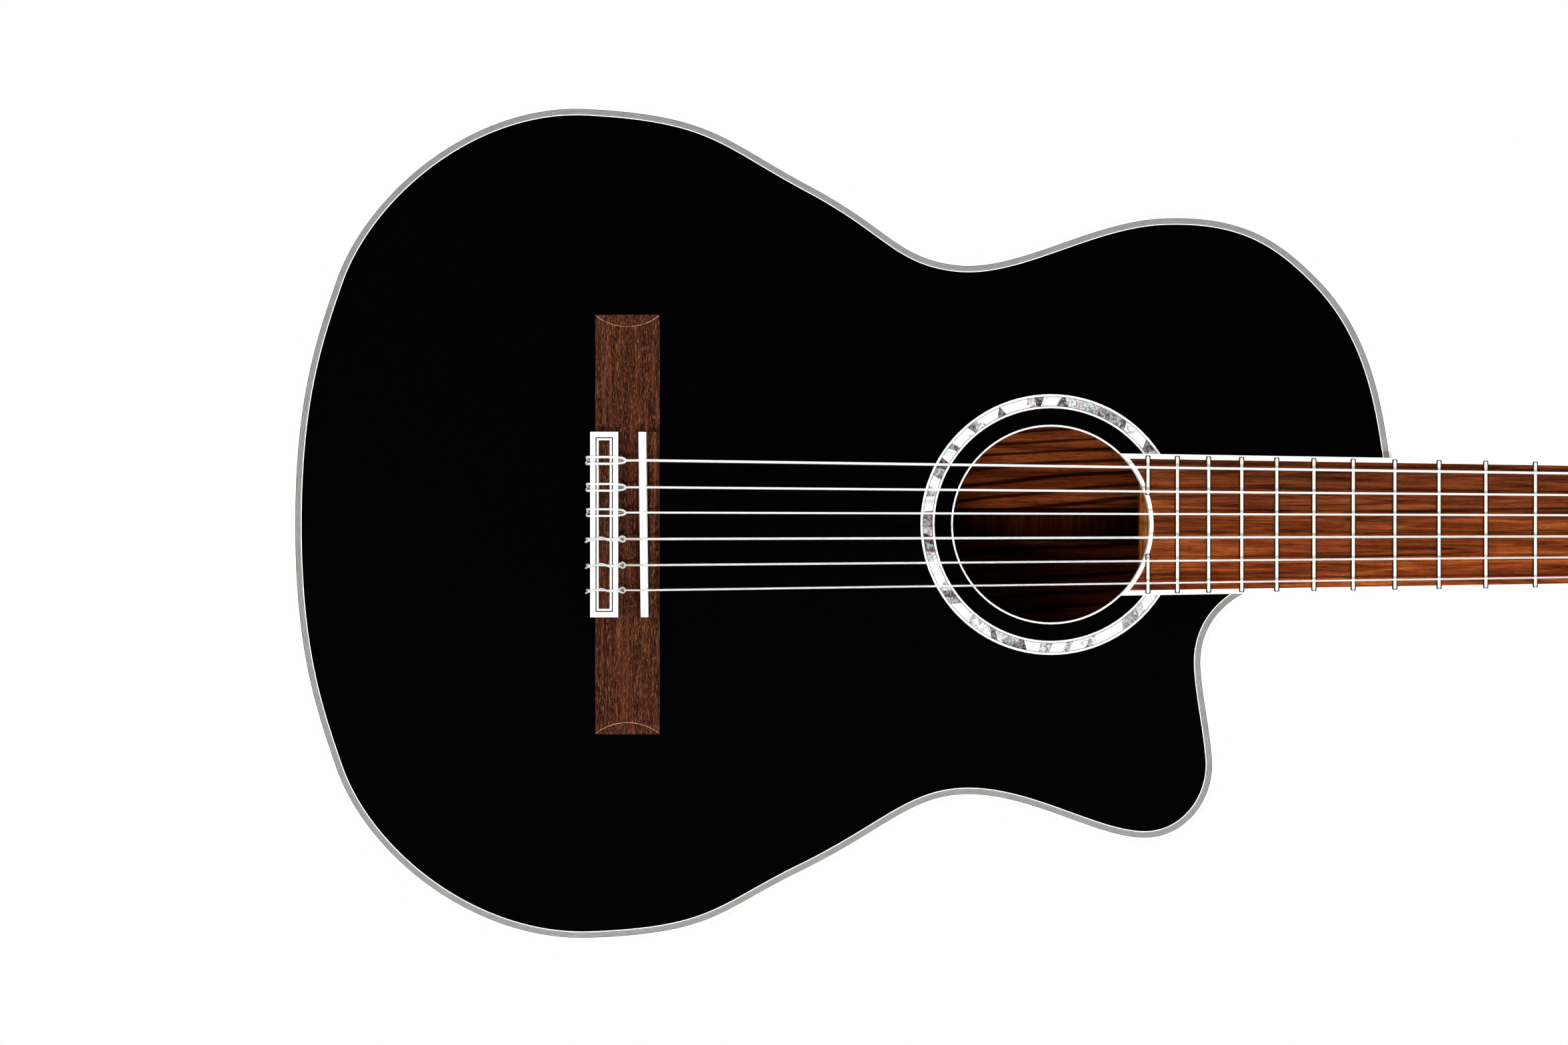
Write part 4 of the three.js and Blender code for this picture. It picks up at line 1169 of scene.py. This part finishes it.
def build_saddle():
    """A bone saddle with a rounded top, set very slightly askew for the strings' different gauges."""
    middle = TROUGH_Z[1] + 0.3 + SADDLE_T / 2
    rings = []
    half_w, half_t = BLOCK_W / 2 - 0.1, SADDLE_T / 2
    for i in range(41):
        x = lerp(-half_w, half_w, i / 40)
        z = middle + lerp(-0.5, 0.5, i / 40)
        ring = [(x, -SADDLE_H[0], z - half_t), (x, -SADDLE_H[0], z + half_t)]
        for k in range(11):
            a = math.pi * k / 10
            ring.append((x, -SADDLE_H[1] + 1.5 - 1.5 * math.sin(a) ** 0.9, z + half_t * math.cos(a)))
        rings.append(ring)
    piece("saddle_bone", loft(rings, 40), "bone", replaces=["saddle"])


# ---- Strings ----
def roller_of(n):
    return n - 1 if n <= 3 else 6 - n


def side_of(n):
    return 1 if n <= 3 else -1


def string_look(n):
    """A string's look, and a second name that nothing uses."""
    return ("nylon", "nylon") if n <= 3 else ("wound", "wound_string")


def tie_path(n):
    """The way a string ends: through the tie block, up its back and over its top into its knot."""
    x, r = string_x(n, 1), STRING_RADII[n - 1]
    (b0, _), (t0, t1) = BLOCK_Z, TROUGH_Z
    top = -PLATE_TOP - r - 0.03
    hole = -TIE_HOLE_H
    start = [(x, string_y(n, 1), SADDLE_CROWN_Z), (x, -SADDLE_H[1] + 1.2, t1 - 0.4), (x, -7.6, t0 + 3.2),
             (x, hole, t0), (x, hole, b0)]
    if n > 3:
        w = 1.45
        return start + [
            (x - 0.6 * w, hole - 0.4, b0 - 1.1), (x - w, top + 2.2, b0 - 0.9 - r), (x - w, top, b0 + 0.8),
            (x - w, top, t0 - 1.6), (x - w * 0.85, top + 0.8, t0 + 0.5), (x - 0.9, top + 2.2, t0 + 2.3),
            (x + 0.1, top + 3.1, t0 + 3.2), (x + 0.9, top + 2.2, t0 + 2.3),
            (x + w * 0.85, top + 0.8, t0 + 0.5), (x + w, top, t0 - 1.6), (x + w, top, b0 + 0.8),
            (x + w, top + 2.0, b0 - 0.9 - r), (x + w * 0.4, top + 3.6, b0 - 1.0 - r),
        ]
    twist = []
    for i in range(1, 13):
        a = 2.2 * math.pi * i / 12
        z = lerp(t0 - 1.0, b0 + 1.6, i / 12)
        twist.append((x + 0.6 * math.sin(a), top - 0.5 + 0.55 * math.cos(a), z))
    return start + [
        (x - 0.3, hole - 0.6, b0 - 1.2), (x - 0.1, top + 2.0, b0 - 0.9 - r), (x, top, b0 + 1.0),
        (x, top, t0 - 1.2), (x - 0.6, top + 0.7, t0 + 0.6), (x - 1.15, top + 2.0, t0 + 1.7),
        (x - 0.6, top + 2.8, t0 + 2.8), (x + 0.6, top + 2.6, t0 + 2.8), (x + 1.15, top + 1.6, t0 + 1.7),
        (x + 0.5, top + 0.2, t0 + 0.5), *twist, (x + 0.7, top + 0.6, b0 - 0.8),
        (x + 1.3, top + 2.4, b0 - 1.9),
    ]


def roller_tangent(n):
    """Where a string first touches its roller, at the front of the roller."""
    return head_point(side_of(n) * ROLLER_STRING_X[roller_of(n)], ROLLER_Y - ROLLER_R - STRING_RADII[n - 1],
                      TUNER_Z[roller_of(n)])


def build_strings():
    for n in STRINGS:
        radius = STRING_RADII[n - 1]
        look, slot = string_look(n)
        nut = Vector((string_x(n, 0), string_y(n, 0), 0))
        saddle = Vector((string_x(n, 1), string_y(n, 1), SADDLE_CROWN_Z))
        run = [saddle.lerp(nut, i / 40) for i in range(41)]
        run += [nut + Vector((0, 0.15, 4.2)), roller_tangent(n)]
        piece("string_%d_run" % n, wire(run, radius, 14), look, replaces=["string_%d" % n])
        knot = smooth_path(tie_path(n), 7)
        piece("string_%d_tie" % n, wire(knot, radius * 0.96), look)
        piece("string_%d_coil" % n, coil_mesh(n), look, "tuner_%d_roller" % n)


def coil_mesh(n):
    """The turns of a string on its roller."""
    radius = STRING_RADII[n - 1]
    reach = ROLLER_R + radius
    side = side_of(n)
    z, x = TUNER_Z[roller_of(n)], side * ROLLER_STRING_X[roller_of(n)]
    points = []
    steps = 84
    for i in range(steps + 1):
        a = 2 * math.pi * COIL_TURNS * i / steps
        drift = -side * (2 * radius + 0.06) * COIL_TURNS * i / steps
        points.append(head_point(x + drift, ROLLER_Y - reach * math.cos(a), z + reach * math.sin(a)))
    return wire(points, radius)


# ---- Tuning machines ----
SIDE_BASIS = ((0, 0, 1), (0, 1, 0), (-1, 0, 0))  # for outlines given as (z, y)


def tuner_plate(side):
    """A side plate with rounded ends, three roller holes and a bored lug on each side of every worm."""
    z0, z1 = TUNER_Z[0] - WORM_DROP - 12, TUNER_Z[2] + 14
    radius = (HEAD_T - 6) / 2
    outline = []
    for z, start in ((z1 - radius, 0), (z0 + radius, math.pi)):
        for i in range(17):
            a = start + math.pi * i / 16
            outline.append((z + radius * math.sin(a), ROLLER_Y + radius * math.cos(a)))
    loops = [outline, *(circle(PLATE_HOLE_R, z, ROLLER_Y, 28) for z in TUNER_Z)]
    middle = side * (PLATE_X[0] + PLATE_X[1]) / 2
    meshes = [curve_mesh(loops, PLATE_X[1] - PLATE_X[0], 0.25, SIDE_BASIS, (middle, 0, 0))]
    for z in TUNER_Z:
        worm_z = z - WORM_DROP
        for y0, y1 in ((2.4, 4.4), (HEAD_T - 4.4, HEAD_T - 2.4)):
            inner, outer = PLATE_X[1] - 0.4, WORM_X
            arch = [(inner, worm_z - LUG_R), (outer, worm_z - LUG_R)]
            arch += [(outer + LUG_R * math.sin(t), worm_z - LUG_R * math.cos(t)) for t in
                     (math.pi * i / 14 for i in range(1, 14))]
            arch += [(outer, worm_z + LUG_R), (inner, worm_z + LUG_R)]
            bore = circle(SHAFT_R + 0.15, WORM_X, worm_z, 24)
            lug = [[(side * x, w) for x, w in loop] for loop in (arch, bore)]
            meshes.append(slab(lug, y0, y1, 0.3))
    return on_head(joined(*meshes))


def screw(origin, out, radius, height):
    """A domed slotted screw head standing on origin and pointing out."""
    dome = turned([(ON_AXIS, 0), (radius, 0), (radius, height * 0.35), (radius * 0.8, height * 0.75),
                   (radius * 0.45, height), (ON_AXIS, height)], origin, out, 24)
    out = Vector(out).normalized()
    side, other = across(out)
    centre = Vector(origin) + out * height
    corners = []
    for up in (-0.45 * height, 0.5 * height):
        for s, o in ((-1, -1), (1, -1), (1, 1), (-1, 1)):
            corners.append(centre + side * (s * radius * 1.2) + other * (o * radius * 0.13) + out * up)
    faces = [(0, 1, 2, 3), (4, 5, 6, 7), (0, 1, 5, 4), (1, 2, 6, 5), (2, 3, 7, 6), (3, 0, 4, 7)]
    return cut(dome, mesh_of(corners, faces))


def worm_mesh(side, z):
    """A shaft with a right-handed thread between its lugs."""
    pitch = 2 * math.pi * (WORM_DROP - WORM_TIP_R + 0.35) / GEAR_TEETH
    y0, y1 = 5.0, HEAD_T - 5.0
    rings = []
    sides = 40
    rows = 64
    for r in range(rows + 1):
        y = lerp(y0, y1, r / rows)
        fade = min(1, (y - y0) / 0.8, (y1 - y) / 0.8)
        ring = []
        for k in range(sides):
            a = 2 * math.pi * k / sides
            phase = ((y / pitch) - k / sides) % 1.0
            crest = max(0.0, min(1.0, 1.7 - 4.2 * abs(phase - 0.5)))
            radius = WORM_CORE_R + (WORM_TIP_R - WORM_CORE_R) * crest * fade
            # Angles run from +X towards -Z, so that the thread is right-handed about +Y.
            ring.append((side * WORM_X + radius * math.cos(a), y, z - radius * math.sin(a)))
        rings.append(ring)
    thread = loft(rings, 50)
    ends = [turned(rod(SHAFT_R, a, b), (side * WORM_X, 0, z), (0, 1, 0), 24)
            for a, b in ((1.6, y0 + 0.1), (y1 - 0.1, BUTTON_Y[0] + 1))]
    collar = turned([(ON_AXIS, HEAD_T + 0.6), (2.6, HEAD_T + 0.6), (2.9, HEAD_T + 1.2), (2.6, HEAD_T + 1.9),
                     (ON_AXIS, HEAD_T + 1.9)], (side * WORM_X, 0, z), (0, 1, 0), 28)
    return on_head(joined(thread, *ends, collar))


def button_mesh(side, z):
    """A turned knob, flattened to an oval paddle."""
    low, high = BUTTON_Y
    profile = [(ON_AXIS, low), (2.6, low), (3.2, low + 1.2), (3.7, low + 2.6), (5.0, low + 4.2),
               (6.5, low + 6.0), (7.4, low + 8.2), (7.6, low + 10.2), (7.4, low + 12.4), (6.7, low + 14.6),
               (5.4, low + 16.4), (3.4, high - 0.6), (1.6, high - 0.1), (ON_AXIS, high)]
    mesh = turned(profile, (0, 0, 0), (0, 1, 0), 40, 60)
    for vertex in mesh.vertices:
        vertex.co.x *= 0.56
        vertex.co += Vector((side * WORM_X, 0, z)) * MM
    return on_head(mesh)


def gear_mesh(side, z):
    """A small solid wheel with rounded teeth, and a washer on its outer face."""
    loop = []
    for tooth in range(GEAR_TEETH):
        for share, radius in ((-0.36, GEAR_ROOT_R), (-0.27, GEAR_ROOT_R + 0.35), (-0.16, GEAR_TIP_R - 0.12),
                              (-0.1, GEAR_TIP_R), (0.1, GEAR_TIP_R), (0.16, GEAR_TIP_R - 0.12),
                              (0.27, GEAR_ROOT_R + 0.35), (0.36, GEAR_ROOT_R)):
            a = 2 * math.pi * (tooth + share) / GEAR_TEETH
            loop.append((z + radius * math.cos(a), ROLLER_Y + radius * math.sin(a)))
    middle = side * (GEAR_X[0] + GEAR_X[1]) / 2
    wheel = curve_mesh([loop], GEAR_X[1] - GEAR_X[0], 0.15, SIDE_BASIS, (middle, 0, 0), 1)
    washer = turned([(ON_AXIS, 0), (3.4, 0), (3.4, 0.35), (3.1, 0.6), (ON_AXIS, 0.6)],
                    (side * GEAR_X[1], ROLLER_Y, z), (side, 0, 0), 28)
    return on_head(joined(wheel, washer))


def roller_mesh(side, z):
    """The white sleeve that the string winds on, its two ends slightly rounded."""
    a, b = SLOT_X[0] - 5, HEAD_HALF - 0.4
    profile = [(ON_AXIS, a), (ROLLER_R - 0.3, a), (ROLLER_R, a + 0.3), (ROLLER_R, b - 0.3),
               (ROLLER_R - 0.3, b), (ON_AXIS, b)]
    return on_head(turned(profile, (0, ROLLER_Y, z), (side, 0, 0), 40))


def build_tuner_plates():
    for side, name in ((-1, "bass"), (1, "treble")):
        piece("tuner_side_plate_" + name, tuner_plate(side), "gold", replaces=["tuner_plate_" + name])
        spots = (TUNER_Z[0] - WORM_DROP - 8, TUNER_Z[0] + 13, TUNER_Z[1] + 13, TUNER_Z[2] + 10)
        screws = [screw((side * PLATE_X[1], ROLLER_Y, z), (side, 0, 0), 1.9, 1.1) for z in spots]
        piece("tuner_screws_" + name, on_head(joined(*screws)), "gold")


def build_tuners():
    for n in STRINGS:
        side, z = side_of(n), TUNER_Z[roller_of(n)]
        drive, roller = "tuner_%d_drive" % n, "tuner_%d_roller" % n
        worm_z = z - WORM_DROP
        piece("worm_%d" % n, worm_mesh(side, worm_z), "nickel", drive, ["tuner_worm_%d" % n])
        piece("button_%d" % n, button_mesh(side, worm_z), "button_pearl", drive, ["tuner_button_%d" % n])
        piece("roller_%d" % n, roller_mesh(side, z), "roller_white", roller, ["string_roller_%d" % n])
        pin = turned(rod(2.9, HEAD_HALF - 0.5, GEAR_X[0] + 0.1), (0, ROLLER_Y, z), (side, 0, 0), 24)
        piece("gear_%d" % n, joined(gear_mesh(side, z), on_head(pin)), "gold", roller)
        head_screw = screw((side * (GEAR_X[1] + 0.6), ROLLER_Y, z), (side, 0, 0), 2.3, 1.3)
        piece("gear_screw_%d" % n, on_head(head_screw), "nickel", roller)


build_stage()
build_soundboard()
build_rosette()
build_shell()
build_interior()
build_neck()
build_fingerboard()
build_bridge()
build_strings()
build_tuner_plates()
build_tuners()
